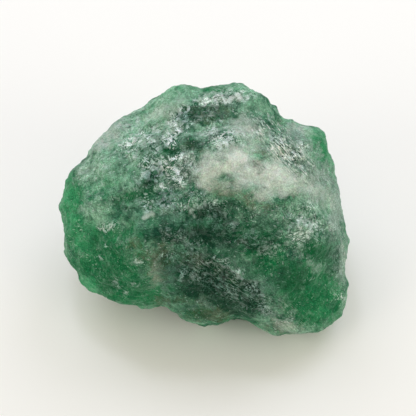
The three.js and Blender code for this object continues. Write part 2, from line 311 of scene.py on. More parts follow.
# Clear, rich green, most of it in the lobes
DEEP_PATCHES = (
    (-4.0, 6.9, 0.9, 0.7, 0, 0.5),
    (1.2, 14.1, 1.6, 0.5, 0, 0.8),
    (-4.1, 12.4, 0.9, 0.6, 0, 0.3),
    (-9.0, 1.5, 1.4, 0.8, 0, 0.8),
    (10.0, 8.6, 1.2, 0.7, -40, 0.5),
    (5.3, 10.8, 1.9, 0.7, 0, 0.3),
    (-11.8, -5.9, 4.7, 3.8, -25, 1.0),
    (-15.7, 0.6, 1.3, 4.0, 5, 0.9),
    (-9.0, -9.7, 3.5, 1.5, -14, 1.0),
    (12.3, -10.6, 4.0, 3.0, -38, 1.0),
    (13.7, 7.0, 1.5, 2.5, 12, 0.35),
    (-2.2, 14.3, 1.4, 0.5, 5, 0.5),
    (15.1, 3.8, 0.4, 2.1, 14, 0.5),
    (-4.2, 7.0, 0.9, 0.6, 0, 0.9),
    (-2.9, 13.8, 2.3, 0.6, 22, 0.3),
    (2.3, 14.4, 2.6, 0.4, 0, 0.4),
    (6.7, 12.4, 1.6, 0.7, -40, 0.3),
    (7.6, -5.6, 3.0, 2.1, -15, 0.8),
    (0.0, -12.7, 3.0, 1.1, -10, 0.4),
    (-8.2, -2.6, 3.0, 1.6, 0, 0.5),
    (-10.2, 2.8, 2.1, 0.9, 10, 0.2),
    (5.9, 6.2, 1.2, 0.7, 0, 0.3),
    (4.3, -13.6, 2.3, 0.7, -15, 0.4),
    (-7.0, 2.3, 1.9, 1.2, 10, 0.5),
    (13.5, -8.2, 2.6, 1.9, -40, 0.8),
    (-13.7, -4.1, 1.4, 1.4, 10, 0.5),
    (12.9, -4.7, 2.1, 1.4, -10, 0.8),
    (2.9, -2.9, 5.9, 1.9, -5, 0.5),
    (-6.4, -9.4, 2.3, 1.6, -10, 0.6),
    (-8.8, 6.4, 2.6, 0.9, 15, 0.3),
    (11.1, -0.2, 2.3, 0.7, -10, 0.1),
    (-12.9, -7.6, 2.8, 1.9, -35, 0.8),
    (-13.7, 1.6, 1.4, 0.9, 0, 0.35),
    (-11.1, -8.9, 1.2, 0.9, 0, 0.4),
    (11.7, -3.5, 0.9, 0.7, 0, 0.2),
    (-10.9, -8.7, 1.1, 0.9, 0, 0.4),
    (-13.0, 1.6, 0.9, 0.7, 0, 0.3),
    (4.7, -3.8, 0.9, 0.7, 0, 0.25),
)

# Brownish stain, mostly along the dark bands
RUST_PATCHES = (
    (-0.6, -6.1, 1.1, 0.6, -35, 0.5),
    (6.2, -10.3, 1.2, 0.5, -30, 0.4),
    (6.1, 4.2, 0.5, 0.6, 0, 0.5),
    (6.3, 6.7, 0.5, 0.3, 0, 0.25),
    (6.4, 7.0, 0.9, 0.6, 0, 0.7),
    (6.3, 5.0, 0.6, 0.8, 0, 0.8),
    (10.0, 1.8, 1.4, 0.6, 0, 0.5),
    (-0.6, 7.0, 0.9, 0.8, 0, 0.4),
    (5.3, 1.5, 1.9, 0.7, 0, 0.5),
    (4.7, 0.0, 1.2, 0.7, 0, 0.4),
    (-4.6, -10.7, 1.4, 0.6, 0, 0.4),
    (-8.2, -3.8, 1.4, 0.9, 0, 0.3),
    (-7.6, -5.4, 0.9, 0.9, 0, 0.4),
    (-2.2, -5.3, 1.2, 0.7, 0, 0.7),
    (1.8, -12.2, 1.6, 0.7, 0, 0.4),
    (-0.8, -6.1, 1.5, 0.9, -20, 0.9),
    (4.5, -3.6, 0.5, 0.5, 0, 1.0),
    (-5.3, -6.1, 1.6, 2.8, -10, 0.7),
    (-0.6, -12.4, 2.8, 0.9, -5, 0.5),
    (8.2, -13.8, 2.6, 0.8, -14, 0.5),
    (1.2, 2.3, 1.4, 0.9, 0, 0.3),
    (1.1, -8.0, 3.5, 1.6, -27, 0.65),
    (-12.3, 9.1, 2.6, 0.8, 42, 0.35),
    (2.3, 2.7, 3.0, 1.1, -4, 0.6),
    (-2.3, 4.2, 0.9, 0.9, 0, 0.4),
    (-1.3, 7.7, 1.1, 0.9, 0, 0.75),
    (0.1, 11.4, 3.5, 1.2, 2, 0.7),
    (7.2, 0.4, 2.8, 0.9, -8, 0.5),
    (3.6, -11.1, 3.3, 0.9, -12, 0.45),
    (10.0, -13.5, 1.9, 0.6, -14, 0.3),
    (0.0, -10.6, 3.5, 1.4, -10, 0.4),
    (-4.1, -10.6, 1.8, 0.7, 0, 0.4),
    (1.2, -12.3, 1.2, 0.6, 0, 0.4),
    (-8.6, -3.8, 1.1, 0.8, 0, 0.3),
    (0.8, -8.8, 1.4, 0.7, -25, 0.3),
    (6.2, 4.5, 0.6, 0.6, 0, 0.5),
    (-2.3, -10.6, 1.1, 0.6, 0, 0.3),
    (1.3, -12.1, 1.1, 0.6, 0, 0.3),
)

# Fresh breaks, where the grain shows
SUGAR_PATCHES = (
    (-6.4, 8.0, 3.5, 1.4, 18, 0.8),
    (-3.2, 10.0, 1.1, 2.1, -20, 0.9),
    (-4.1, 4.5, 3.3, 1.8, 15, 0.85),
    (-3.4, 1.2, 3.3, 1.4, 0, 0.6),
    (2.3, 13.1, 2.8, 0.7, 4, 1.0),
    (2.3, 8.4, 2.3, 1.4, 0, 0.9),
    (10.0, 6.8, 4.2, 1.3, -46, 0.4),
    (11.5, -1.8, 2.8, 2.1, -10, 0.6),
    (1.2, -7.7, 5.9, 1.9, -25, 0.3),
    (-2.3, -4.1, 2.8, 1.2, -30, 0.35),
    (1.1, 10.8, 3.5, 1.4, 0, 0.2),
    (2.3, -1.4, 5.2, 2.1, -6, 0.22),
    (-11.7, 1.2, 4.2, 1.4, 15, 0.15),
    (-11.4, -6.4, 5.2, 4.0, -30, 0.08),
    (12.3, -10.6, 3.5, 2.6, -40, 0.05),
    (6.7, -11.5, 3.0, 1.2, -25, 0.25),
    (-13.5, 4.5, 1.6, 0.9, 40, 0.3),
    (15.4, -6.1, 0.8, 3.0, 0, 0.15),
    (7.0, -4.7, 3.5, 1.6, -10, 0.25),
    (-4.7, 12.3, 3.5, 1.1, 25, 0.2),
    (4.1, 13.8, 3.5, 0.7, -10, 0.15),
    (-8.8, 10.0, 2.8, 0.9, 35, 0.35),
    (-12.9, 4.5, 2.3, 2.1, 30, 0.3),
)

# Grey haze, mostly down the right side and on the upper left shoulder. The bands along the right
# edge and on that shoulder are partly a painted sheen of the side lights.
ASH_AND_SHEEN_PATCHES = (
    (11.1, 5.9, 1.9, 0.9, -48, 0.45),
    (8.4, 8.6, 1.2, 0.7, -45, 0.4),
    (1.1, -10.9, 1.6, 0.6, -5, 0.5),
    (0.8, -10.7, 1.8, 0.6, -5, 0.5),
    (0.4, 8.9, 1.5, 0.9, 0, 0.5),
    (-2.2, 6.9, 0.9, 0.7, 0, 0.5),
    (13.2, 6.8, 0.8, 1.1, 0, 0.35),
    (13.5, -7.0, 0.9, 0.8, 0, 0.3),
    (-4.3, -8.7, 1.1, 1.1, 0, 0.4),
    (0.4, -10.8, 1.6, 0.6, -10, 0.4),
    (15.6, 0.2, 0.9, 3.8, -12, 0.95),
    (16.1, -6.1, 0.8, 3.3, 0, 0.7),
    (13.5, 3.0, 2.1, 2.6, -25, 0.8),
    (10.4, 8.0, 1.8, 2.1, -40, 0.7),
    (10.3, 9.6, 1.1, 0.7, -30, 0.6),
    (13.6, 6.7, 0.2, 0.8, -20, 0.5),
    (5.3, 9.8, 2.1, 1.5, 0, 0.6),
    (-11.1, 8.9, 3.3, 1.1, 40, 0.9),
    (-5.3, 10.6, 2.1, 1.2, 25, 0.4),
    (-4.1, 4.1, 3.0, 2.3, 0, 0.4),
    (0.4, 5.2, 1.6, 1.4, 0, 0.9),
    (-4.7, 0.4, 2.6, 1.1, 0, 0.2),
    (-2.0, 4.7, 1.2, 1.4, 0, 0.9),
    (7.6, 7.3, 1.2, 1.2, -48, 0.5),
    (10.9, 6.8, 1.5, 1.8, -40, 0.6),
    (-2.5, 7.9, 1.6, 1.2, 0, 0.35),
    (-6.4, -9.4, 1.2, 0.9, 0, 0.3),
    (0.8, 2.3, 1.2, 0.7, 0, 0.3),
    (10.0, 4.9, 0.9, 0.9, 0, 0.5),
    (12.7, -6.4, 1.4, 0.9, -30, 0.5),
    (6.8, -8.9, 1.3, 0.7, -30, 0.45),
    (9.3, -13.1, 2.6, 1.3, -20, 0.45),
    (3.5, 1.2, 2.6, 0.7, -5, 0.3),
    (0.0, -6.1, 2.6, 0.9, -35, 0.3),
    (-4.7, -6.1, 1.6, 2.3, 0, 0.4),
    (2.9, -6.1, 1.2, 0.9, -30, 0.4),
    (11.1, -1.8, 2.1, 1.6, 0, 0.35),
    (1.2, -11.7, 3.0, 0.7, -8, 0.2),
    (7.4, 0.0, 1.4, 1.1, 0, 0.35),
    (1.1, 8.7, 0.9, 0.8, 0, 0.5),
    (-2.2, 5.4, 0.9, 0.8, 0, 0.4),
    (6.7, 7.4, 0.9, 0.7, 0, 0.4),
    (-8.3, -3.5, 1.4, 0.8, 0, 0.25),
    (2.9, -1.9, 0.9, 0.7, 0, 0.35),
    (14.4, -8.7, 1.2, 0.8, 0, 0.25),
    (-7.6, -5.2, 0.8, 0.7, 0, 0.25),
    (2.7, 12.2, 1.1, 0.6, 0, 0.35),
    (6.7, 7.0, 0.7, 0.6, 0, 0.25),
    (3.2, 12.3, 0.8, 0.6, 0, 0.25),
    (-4.1, -7.2, 0.8, 0.8, 0, 0.35),
    (11.7, 3.4, 0.9, 0.7, 0, 0.2),
    (11.7, 5.0, 0.9, 0.7, -40, 0.35),
    (-0.6, 8.7, 0.8, 0.6, 0, 0.3),
    (4.8, 5.2, 0.9, 0.7, 0, 0.3),
    (1.2, -10.4, 1.1, 0.6, -15, 0.5),
    (-3.9, 3.3, 1.1, 0.7, 0, 0.25),
    (-2.2, -1.6, 0.9, 0.7, 0, 0.2),
    (13.0, 7.7, 0.7, 1.2, 0, 0.3),
    (6.7, 7.2, 0.6, 0.6, 0, 0.3),
    (8.2, 5.2, 0.8, 0.7, 0, 0.35),
)

# White flecks: grains that are bruised, and painted glints
FROST_AND_GLINT_PATCHES = (
    (10.0, 6.9, 1.1, 0.6, -48, 0.35),
    (-1.8, -4.3, 0.9, 0.2, -50, 0.5),
    (0.1, -6.0, 0.8, 0.2, -42, 0.7),
    (-8.6, 8.1, 1.2, 0.4, 18, 1.0),
    (-6.4, 9.3, 1.6, 0.5, 20, 0.4),
    (-9.0, 6.7, 0.9, 0.4, 15, 0.4),
    (-6.4, 8.2, 0.6, 0.5, 0, 1.0),
    (-4.1, 8.1, 0.7, 0.5, 0, 1.0),
    (-3.5, 9.6, 0.6, 0.9, -20, 1.0),
    (-3.8, 11.1, 0.6, 0.5, 0, 0.8),
    (-2.2, 12.0, 0.9, 0.5, 10, 0.5),
    (-2.0, 10.2, 0.5, 0.3, -15, 0.8),
    (-6.6, 5.5, 0.9, 0.7, 0, 0.9),
    (-3.9, 4.8, 1.2, 0.4, -8, 0.9),
    (-3.4, 6.2, 0.7, 0.5, 0, 0.7),
    (-5.0, 2.7, 0.2, 0.6, 35, 0.9),
    (-2.8, 3.4, 0.7, 0.7, 0, 0.8),
    (-7.3, 4.2, 0.6, 0.4, 0, 0.7),
    (-6.7, 0.6, 0.7, 0.8, 0, 0.8),
    (-4.7, 0.1, 0.7, 0.6, -30, 0.9),
    (-1.6, -0.4, 0.4, 0.4, 0, 0.8),
    (2.0, 13.0, 2.3, 0.5, 5, 1.0),
    (2.3, 8.2, 1.2, 0.7, 0, 0.65),
    (8.1, 8.4, 0.5, 1.2, 42, 0.6),
    (11.5, 7.5, 0.6, 0.5, 0, 0.8),
    (9.7, 6.8, 0.5, 1.1, 42, 0.8),
    (11.5, -1.5, 0.7, 0.6, 0, 0.5),
    (10.9, -3.3, 0.6, 0.7, 0, 0.8),
    (12.5, 0.2, 0.9, 0.5, -10, 0.6),
    (3.6, -7.4, 1.1, 0.4, -40, 1.0),
    (5.3, -8.9, 1.2, 0.4, -32, 0.9),
    (7.0, -11.5, 0.7, 0.5, -30, 0.6),
    (-11.5, -1.9, 1.1, 0.4, 12, 0.6),
    (-4.3, -5.2, 1.1, 0.4, 12, 0.6),
    (-7.6, -6.1, 0.7, 0.2, -40, 0.5),
    (-2.7, -7.6, 0.4, 0.6, 0, 0.6),
    (1.1, 0.9, 0.9, 0.4, 0, 0.5),
    (0.6, -8.4, 2.3, 0.9, -25, 0.15),
    (15.8, -10.1, 0.5, 0.5, 0, 0.5),
    (-11.6, -4.3, 0.5, 0.1, -15, 0.7),
    (-12.4, -5.7, 0.4, 0.1, 40, 0.6),
    (-10.4, -8.7, 0.2, 0.5, 20, 0.7),
    (-9.3, -9.5, 0.4, 0.1, 30, 0.5),
    (-14.7, -1.8, 0.2, 0.5, 0, 0.5),
    (-8.1, -8.8, 0.4, 0.2, 30, 0.5),
    (12.4, -8.2, 0.2, 0.2, 0, 0.7),
    (10.1, -12.5, 0.2, 0.4, 0, 0.4),
    (1.2, 8.6, 0.7, 0.7, 0, 0.5),
    (-2.2, 5.3, 0.7, 0.6, 0, 0.5),
    (6.7, -10.0, 1.1, 0.3, -35, 0.7),
    (2.0, -6.1, 1.1, 0.3, -32, 0.6),
    (3.2, -1.9, 0.6, 0.5, 0, 0.4),
)

# Where the green is thin and pale. On the rims and the upper left shoulder this is partly painted
# light, coming through the thin stone.
PALE_PATCHES = (
    (10.2, 6.8, 1.2, 0.8, -45, 0.2),
    (11.7, 5.2, 1.1, 0.7, -50, 0.25),
    (8.3, -12.8, 2.8, 0.7, -37, 0.2),
    (0.8, -10.6, 1.6, 0.6, -5, 0.25),
    (3.0, 12.2, 0.9, 0.6, 0, 0.4),
    (-5.9, 10.6, 1.1, 0.8, 0, 0.4),
    (-9.7, 3.5, 1.6, 0.9, 0, 0.4),
    (2.9, -1.8, 0.9, 0.7, 0, 0.3),
    (-11.1, -3.5, 0.9, 0.7, 0, 0.25),
    (13.7, -8.7, 0.9, 0.9, 0, 0.3),
    (0.4, 9.0, 1.5, 0.9, 0, 0.6),
    (-10.9, 3.5, 2.3, 1.1, 0, 0.5),
    (-9.4, -1.9, 1.1, 0.8, 0, 0.4),
    (14.7, -8.7, 1.2, 0.9, 0, 0.3),
    (-5.9, -6.8, 0.9, 0.9, 0, 0.3),
    (-2.9, 13.7, 2.6, 1.1, 22, 0.9),
    (3.2, 14.2, 3.0, 0.7, -5, 0.7),
    (-8.6, 11.5, 1.6, 0.9, 30, 0.6),
    (10.0, 6.8, 1.9, 1.4, -40, 0.5),
    (-8.8, -6.8, 1.4, 1.2, 0, 0.4),
    (10.0, -4.7, 1.2, 0.9, 0, 0.2),
    (-3.9, 9.4, 0.9, 1.2, 0, 0.5),
    (-8.8, -2.3, 1.2, 0.9, 0, 0.25),
    (5.9, -12.0, 1.4, 0.9, -30, 0.3),
    (-5.3, 12.0, 3.3, 1.1, 27, 0.8),
    (-11.1, 8.2, 3.0, 1.6, 40, 0.6),
    (-12.8, 4.7, 2.3, 1.3, 35, 0.7),
    (6.0, 12.1, 2.1, 1.2, -30, 0.6),
    (-12.5, -0.2, 1.9, 1.9, 10, 0.55),
    (-7.0, 9.1, 3.0, 1.4, 20, 0.7),
    (-9.0, 6.3, 1.9, 1.1, 10, 0.5),
    (-11.7, 4.9, 1.9, 0.9, 20, 0.4),
    (-4.3, 4.2, 3.5, 2.3, 0, 0.35),
    (10.9, -1.4, 2.3, 1.9, 0, 0.5),
    (10.4, 8.9, 2.3, 1.4, -40, 0.6),
    (11.5, 6.3, 1.3, 1.8, -40, 0.5),
    (5.3, 7.6, 3.5, 1.6, 0, 0.5),
    (2.3, 9.4, 2.8, 1.4, 0, 0.4),
    (12.9, 2.1, 3.5, 2.1, -30, 0.5),
    (5.9, 6.4, 1.2, 1.2, 0, 0.4),
    (15.6, -9.4, 0.9, 1.9, 0, 0.3),
    (8.2, -13.5, 2.3, 0.9, -15, 0.15),
    (-12.9, 3.4, 1.4, 0.8, 20, 0.7),
    (9.4, 5.4, 1.6, 0.7, -45, 0.3),
    (7.9, 10.3, 1.1, 0.7, -45, 0.3),
    (-6.4, 11.0, 1.1, 0.7, 25, 0.3),
    (-13.7, -1.9, 1.2, 0.9, 0, 0.25),
    (13.5, -8.9, 0.9, 0.8, 0, 0.2),
    (1.3, -10.7, 1.1, 0.6, 0, 0.45),
    (6.7, 7.0, 0.9, 0.6, 0, 0.3),
    (11.7, 6.3, 0.9, 0.7, -40, 0.3),
)

# Painted light: brighter green on thin edges, for the light that comes through them
PAINTED_GLOW_PATCHES = (
    (-15.8, 0.6, 1.2, 3.5, 5, 0.8),
    (-3.9, 14.1, 1.6, 0.5, 22, 0.4),
    (4.7, 14.0, 2.1, 0.5, -22, 0.5),
    (-6.4, 12.0, 1.6, 0.6, 35, 0.4),
    (13.2, 7.9, 1.8, 2.3, 15, 0.6),
    (15.1, 3.8, 0.4, 2.1, 14, 0.6),
    (13.7, -12.0, 1.6, 1.1, -30, 0.4),
    (-14.2, -3.5, 1.5, 2.3, 0, 0.7),
    (-8.8, -4.7, 1.2, 0.9, 0, 0.25),
    (-13.7, -8.9, 1.6, 0.9, -35, 0.9),
    (15.1, -9.4, 0.8, 1.6, 0, 0.5),
    (-12.0, 2.6, 2.6, 1.6, 20, 0.5),
    (-13.5, -1.9, 1.3, 1.1, 0, 0.35),
    (-10.9, -3.5, 1.1, 0.8, 0, 0.3),
)

# Painted shade, partly the stone's depth: darker on the lower faces, in the hollows and in the grooves
DEPTH_AND_SHADE_PATCHES = (
    (0.9, -8.4, 1.4, 0.6, -20, 0.4),
    (-4.0, 6.9, 0.9, 0.6, 0, 0.7),
    (-8.1, -0.2, 0.8, 0.7, 0, 0.3),
    (-5.5, 0.6, 0.9, 0.6, 0, 0.25),
    (6.7, 10.4, 1.2, 0.8, 0, 0.4),
    (-5.7, 8.7, 0.9, 0.7, 0, 0.4),
    (8.1, 8.9, 0.9, 0.9, 0, 0.4),
    (-7.6, 7.0, 0.9, 0.8, 0, 0.3),
    (5.5, 3.3, 1.6, 0.9, 0, 0.2),
    (-0.6, 1.8, 1.1, 0.7, 0, 0.4),
    (13.5, 1.6, 0.9, 0.9, 0, 0.25),
    (1.1, -1.8, 0.9, 0.8, 0, 0.4),
    (8.2, -1.8, 2.1, 0.8, 0, 0.25),
    (15.2, -3.9, 0.7, 1.1, 0, 0.4),
    (6.4, -5.5, 1.1, 0.8, 0, 0.4),
    (13.5, -5.4, 1.1, 0.8, 0, 0.3),
    (-11.1, -8.9, 1.2, 0.8, 0, 0.5),
    (0.2, -8.8, 1.8, 0.9, 0, 0.6),
    (2.9, -10.6, 1.2, 0.7, 0, 0.2),
    (10.0, -12.3, 0.9, 0.7, 0, 0.3),
    (-2.2, 10.7, 1.1, 0.8, 0, 0.8),
    (4.1, 10.4, 2.1, 0.8, 0, 0.2),
    (-4.3, 6.9, 1.2, 0.7, 0, 0.3),
    (-6.7, 3.4, 1.4, 1.1, 0, 0.75),
    (-4.1, 1.8, 1.2, 0.8, 0, 0.6),
    (-7.6, -0.2, 0.9, 0.9, 0, 0.35),
    (-7.5, -1.9, 0.9, 0.9, 0, 0.4),
    (5.5, -3.6, 1.8, 1.2, 0, 0.65),
    (3.2, -5.4, 1.4, 0.8, -20, 0.4),
    (-7.6, -8.9, 1.1, 0.9, 0, 0.4),
    (1.5, -8.7, 1.4, 1.2, -20, 0.5),
    (8.2, -8.7, 1.4, 0.8, -30, 0.6),
    (-3.4, -10.8, 1.9, 0.8, -10, 0.5),
    (10.2, -10.6, 1.2, 0.9, 0, 0.3),
    (10.0, 8.6, 1.2, 0.7, -40, 0.3),
    (0.4, 11.5, 3.0, 0.9, 2, 0.3),
    (0.0, -2.5, 5.2, 1.8, 0, 0.75),
    (-3.9, -7.7, 1.6, 1.4, 0, 0.5),
    (-11.1, -7.3, 1.6, 1.2, 0, 0.3),
    (0.1, -9.4, 2.1, 0.9, 0, 0.3),
    (5.5, -7.3, 1.4, 1.2, 0, 0.4),
    (-6.4, 6.8, 1.1, 0.8, 0, 0.35),
    (0.9, -8.4, 4.2, 2.1, -28, 0.7),
    (1.2, -11.7, 4.7, 1.1, -12, 0.35),
    (-7.6, 0.5, 2.6, 1.6, 0, 0.45),
    (-4.3, -0.4, 1.9, 0.9, 0, 0.65),
    (-6.4, 5.2, 1.1, 1.4, 0, 0.45),
    (-3.2, -6.1, 2.1, 1.6, 0, 0.6),
    (3.5, -6.8, 1.4, 0.7, -30, 0.4),
    (0.6, -0.5, 2.3, 1.1, 0, 0.6),
    (9.4, -2.1, 1.6, 0.9, 0, 0.3),
    (-2.3, -4.7, 1.6, 0.9, 0, 0.5),
    (14.9, -5.4, 0.9, 2.1, 0, 0.65),
    (6.7, -9.4, 1.2, 0.9, 0, 0.4),
    (6.7, -11.5, 2.1, 1.1, -25, 0.5),
    (-4.6, -6.8, 1.4, 1.4, 0, 0.5),
    (8.8, -3.3, 1.6, 0.9, 0, 0.1),
    (5.3, -10.0, 2.1, 1.6, -30, 0.6),
    (10.4, -8.0, 1.9, 1.6, 0, 0.7),
    (-1.3, 7.7, 0.9, 0.9, 0, 0.3),
    (-4.1, 7.0, 0.9, 0.6, 0, 0.5),
    (-12.0, -4.0, 1.9, 1.3, -20, 0.3),
    (2.0, 0.7, 3.0, 0.8, 0, 0.2),
    (-6.4, 3.3, 0.8, 0.8, 0, 0.4),
    (12.5, -4.7, 1.6, 1.2, 0, 0.4),
    (-3.5, -9.4, 1.4, 1.2, 0, 0.5),
    (6.7, -2.8, 2.3, 1.4, 0, 0.3),
    (-0.6, -4.9, 2.8, 0.9, 0, 0.4),
    (-9.4, -5.4, 0.8, 0.7, 0, 0.25),
    (-5.9, -5.2, 0.8, 0.8, 0, 0.25),
    (-7.6, -7.0, 0.9, 0.8, 0, 0.25),
    (15.2, -7.0, 0.7, 0.8, 0, 0.3),
    (1.3, -8.0, 1.9, 0.8, -25, 0.4),
    (5.0, 12.4, 1.1, 0.7, -30, 0.25),
    (-4.1, 12.3, 1.1, 0.6, 20, 0.2),
    (1.2, -1.6, 0.8, 0.7, 0, 0.25),
    (-11.1, 5.3, 1.1, 0.8, 0, 0.2),
    (1.3, -5.4, 1.2, 0.7, -25, 0.3),
    (4.8, -10.6, 1.2, 0.7, -30, 0.3),
    (4.7, -8.7, 0.9, 0.6, -30, 0.25),
    (11.7, -3.5, 0.8, 0.7, 0, 0.2),
    (-0.4, 6.8, 0.8, 0.6, 0, 0.25),
    (-2.1, -7.0, 0.8, 0.7, 0, 0.25),
    (-4.2, 6.9, 0.8, 0.6, 0, 0.2),
    (1.1, -1.4, 0.8, 0.7, 0, 0.2),
    (2.8, 7.0, 0.8, 0.6, 0, 0.2),
    (6.7, 1.6, 0.9, 0.7, 0, 0.2),
    (-2.2, -7.2, 0.7, 0.6, 0, 0.25),
    (1.3, 0.0, 0.7, 0.6, 0, 0.2),
    (1.2, -8.9, 0.9, 0.7, 0, 0.25),
)

# Fibrous faces: how far apart their ridges stand, and how far one runs along the fibres and into
# the stone. Waves of spread 1 are lessened to FIBRE_SWING, so that few go past a ridge's height.
FIBRE_SPACING = 0.6
FIBRE_LENGTH = 3.0
FIBRE_DEPTH = 1.2
FIBRE_SWING = 0.8
FIBRE_SEED = 3000

# Where they are: x, y, half length, half width, turn of the patch and of its fibres, and strength.
# A patch thins out between these two shares of its size, and between these two heights above and
# below the outline.
FIBRE_EDGE = (0.4, 1.4)
FIBRE_ONSET = (-2, 0)
FIBRE_PATCHES = (
    (9.0, 7.6, 5.4, 1.8, -48, 1.0),
    (1.6, -8.0, 5.2, 1.7, -29, 0.65),
    (9.6, -12.6, 3.2, 1.4, -40, 0.3),
    (15.6, -3.0, 5.5, 0.9, -82, 0.25),
)

# Each mineral's patches, and those of painted light and shade, how much of it chance puts on the
# hidden side, and the size of the clouds that chance makes there.
MINERALS = {
    "milk": (MILK_PATCHES, 0.4, 9.0),
    "pale": (PALE_PATCHES, 0.4, 8.0),
    "ash": (ASH_AND_SHEEN_PATCHES, 0.5, 8.0),
    "deep": (DEEP_PATCHES, 0.75, 10.0),
    "rust": (RUST_PATCHES, 0.3, 6.0),
    "mica": (MICA_PATCHES, 0.36, 7.0),
    "glow": (PAINTED_GLOW_PATCHES, 0.3, 8.0),
    "depth_and_shade": (DEPTH_AND_SHADE_PATCHES, 0.3, 7.0),
    "sugar": (SUGAR_PATCHES, 0.6, 8.0),
    "frost_and_glint": (FROST_AND_GLINT_PATCHES, 0.2, 2.5),
}

# The share of sugar, and of frost and painted glints, that whole milk takes away
MILK_FILLS = 0.7

# A patch fades over this share of its size to either side of its edge. Waves of these lengths move
# the edge about by these distances.
PATCH_SOFTNESS = 0.65
PATCH_WANDER = ((1.6, 0.14), (0.8, 0.08))
WANDER_SEED = 900
WANDER_SEED_STEP = 20

# The patches end at a depth behind the outline, in an edge that fades to either side and that
# waves of one length move about. Behind it chance gives a mineral BACK_MOST at most, and rises to
# that between the two levels of the mineral's own wave.
BACK_EDGE = -4.2
BACK_EDGE_WAVE = 7
BACK_EDGE_WANDER = 1.2
BACK_EDGE_SEED = 1800
BACK_EDGE_FADE = 1.5
BACK_MOST = 0.6
BACK_LEVELS = (-0.6, 0.9)
BACK_SEED = 2000
BACK_SEED_STEP = 60

# The stone's patterns, in millimetres: the sway that bends them and how far it moves them, the
# grains of its breaks, the strokes that hatch a grain, the fine threads and cleavage flakes of
# its skin, the clumps that all of these gather in, the threads of its fibrous faces, and the
# finest grain of all.
SWAY_WIDTH = 0.7
SWAY_REACH = 0.6
GRAIN_WIDTH = 0.7
STROKE_SIZE = (0.1, 0.35, 0.35)
THREAD_WIDTH = 0.8
FLAKE_WIDTH = 0.42
CLUMP_WIDTH = 1.5
FIBRE_THREAD = (0.9, 0.19, 0.5)
FINE_WIDTH = 0.14

# Nicks lie in the strokes' own space, so many to a stroke's size. An arc runs round a grain's
# middle, and its radius and half its breadth are shares of the grain's width.
NICKS_PER_STROKE = 0.6
NICK_SLOPE = 1.2
ARC_RADIUS = 0.36
ARC_BREADTH = 0.05

# A chance colour less MIDDLE is a chance direction. Nearly all of a noise is in NOISE_SPREAD.
MIDDLE = (0.5, 0.5, 0.5)
NOISE_SPREAD = (0.32, 0.68)

# Clouds of the plain body: colour, size in millimetres, the two levels of noise between which a
# cloud comes in, and the most that it covers.
BODY_CLOUDS = (
    ("pale", 2.6, 0.42, 0.64, 1.0),
    ("gloom", 1.2, 0.48, 0.66, 0.8),
)

# The minerals that have a colour, some of them partly painted light, the lowest first: name, width
# in millimetres of the spots in which it ends, how ragged and how soft that end is, and the most
# that it covers.
MINERAL_EDGES = (
    ("pale", 0.8, 0.6, 0.5, 0.9),
    ("deep", 1.2, 0.6, 0.55, 0.95),
    ("glow", 1.2, 0.4, 0.7, 0.9),
    ("ash", 0.7, 0.6, 0.5, 0.85),
    ("rust", 0.6, 0.6, 0.5, 0.75),
    ("milk", 0.6, 0.2, 0.8, 0.9),
    ("mica", 0.7, 0.6, 0.5, 0.95),
)

# Where the marks of breakage, and the painted glints among them, go: a start, and what each
# mineral's whole cover adds to it, gains before losses.
MARK_PLACES = {
    "broken": (0.25, {"sugar": 0.75, "milk": -0.2}),
    "fresh": (0.45, {"sugar": 0.55, "deep": -0.15, "milk": -0.35, "mica": -0.2}),
    "nicked": (0.45, {"sugar": 0.5, "milk": -0.4, "deep": -0.2}),
    "tilted": (0.08, {"sugar": 0.9}),
    "grainy": (1.0, {"milk": -0.55}),
}

# The levels of the clumps between which white flecks crowd and fibres bundle, and the least share
# that they keep outside them.
CROWD_LEVELS = (0.48, 0.62, 0)
BUNDLE_LEVELS = (0.42, 0.56, 0.35)

# The marks, the lowest first: pattern, the levels at which a mark begins and is whole, colour, the
# most that it covers, and where it goes. Dark marks are gaps and flakes. Pale ones are haze, bruises
# and painted glints. The two sets of arcs paint the lit and the shaded side of small pits. The last
# three are the stains, crests and grooves of fibrous faces, the crests partly painted glints and the
# grooves painted shade.
MARKS = (
    ("clumps", 0.5, 0.4, "gloom", 0.8, "broken"),
    ("clumps", 0.5, 0.62, "ash", 0.35, "broken"),
    ("flakes", 0.45, 0.2, "mica", 0.5, "broken"),
    ("flakes", 0.6, 0.85, "ash", 0.3, "broken"),
    ("strokes", 0.46, 0.38, "gloom", 0.8, "fresh"),
    ("strokes", 0.56, 0.62, "glow", 0.8, "fresh"),
    ("strokes", 0.57, 0.63, "ash", 0.6, "sugar"),
    ("arcs", -0.05, -0.08, "mica", 0.5, "sugar"),
    ("nicks", 0.42, 0.46, "frost_and_glint", 0.6, "nicked"),
    ("flakes", 0.64, 0.66, "frost_and_glint", 0.65, "frosted_and_glinting"),
    ("strokes", 0.548, 0.575, "frost_and_glint", 1.0, "frosted_and_glinting"),
    ("arcs", 0.07, 0.09, "frost_and_glint", 0.6, "sugar"),
    ("fibres", 0.5, 0.54, "rust", 0.45, "fibrous"),
    ("fibres", 0.54, 0.6, "splinter", 0.95, "fibrous"),
    ("fibres", 0.47, 0.42, "mica", 0.9, "fibrous"),
)

# The finest grain runs from dark to light as its noise goes over FINE_SPREAD.
FINE_SPREAD = (0.3, 0.7)
FINE_SHADES = (0.65, 1.35)

# The finish, on the worn skin and on a sugary break: roughness, and the share of light that goes
# in. It comes out again within LIGHT_REACH millimetres, by these shares of red, green and blue.
BERYL_IOR = 1.58
ROUGHNESS = (0.5, 0.2)
LIGHT_LET_IN = (0.7, 0.1)
LIGHT_REACH = 0.6
LIGHT_SPREAD = (0.35, 1.0, 0.6)

# The gloss where no flake lies open, how much open ones add on a sugary break, and the levels of
# a flake's number between which it opens.
SHUT_GLOSS = 0.05
OPEN_GLOSS = 0.9
OPEN_LEVELS = (0.5, 0.6)

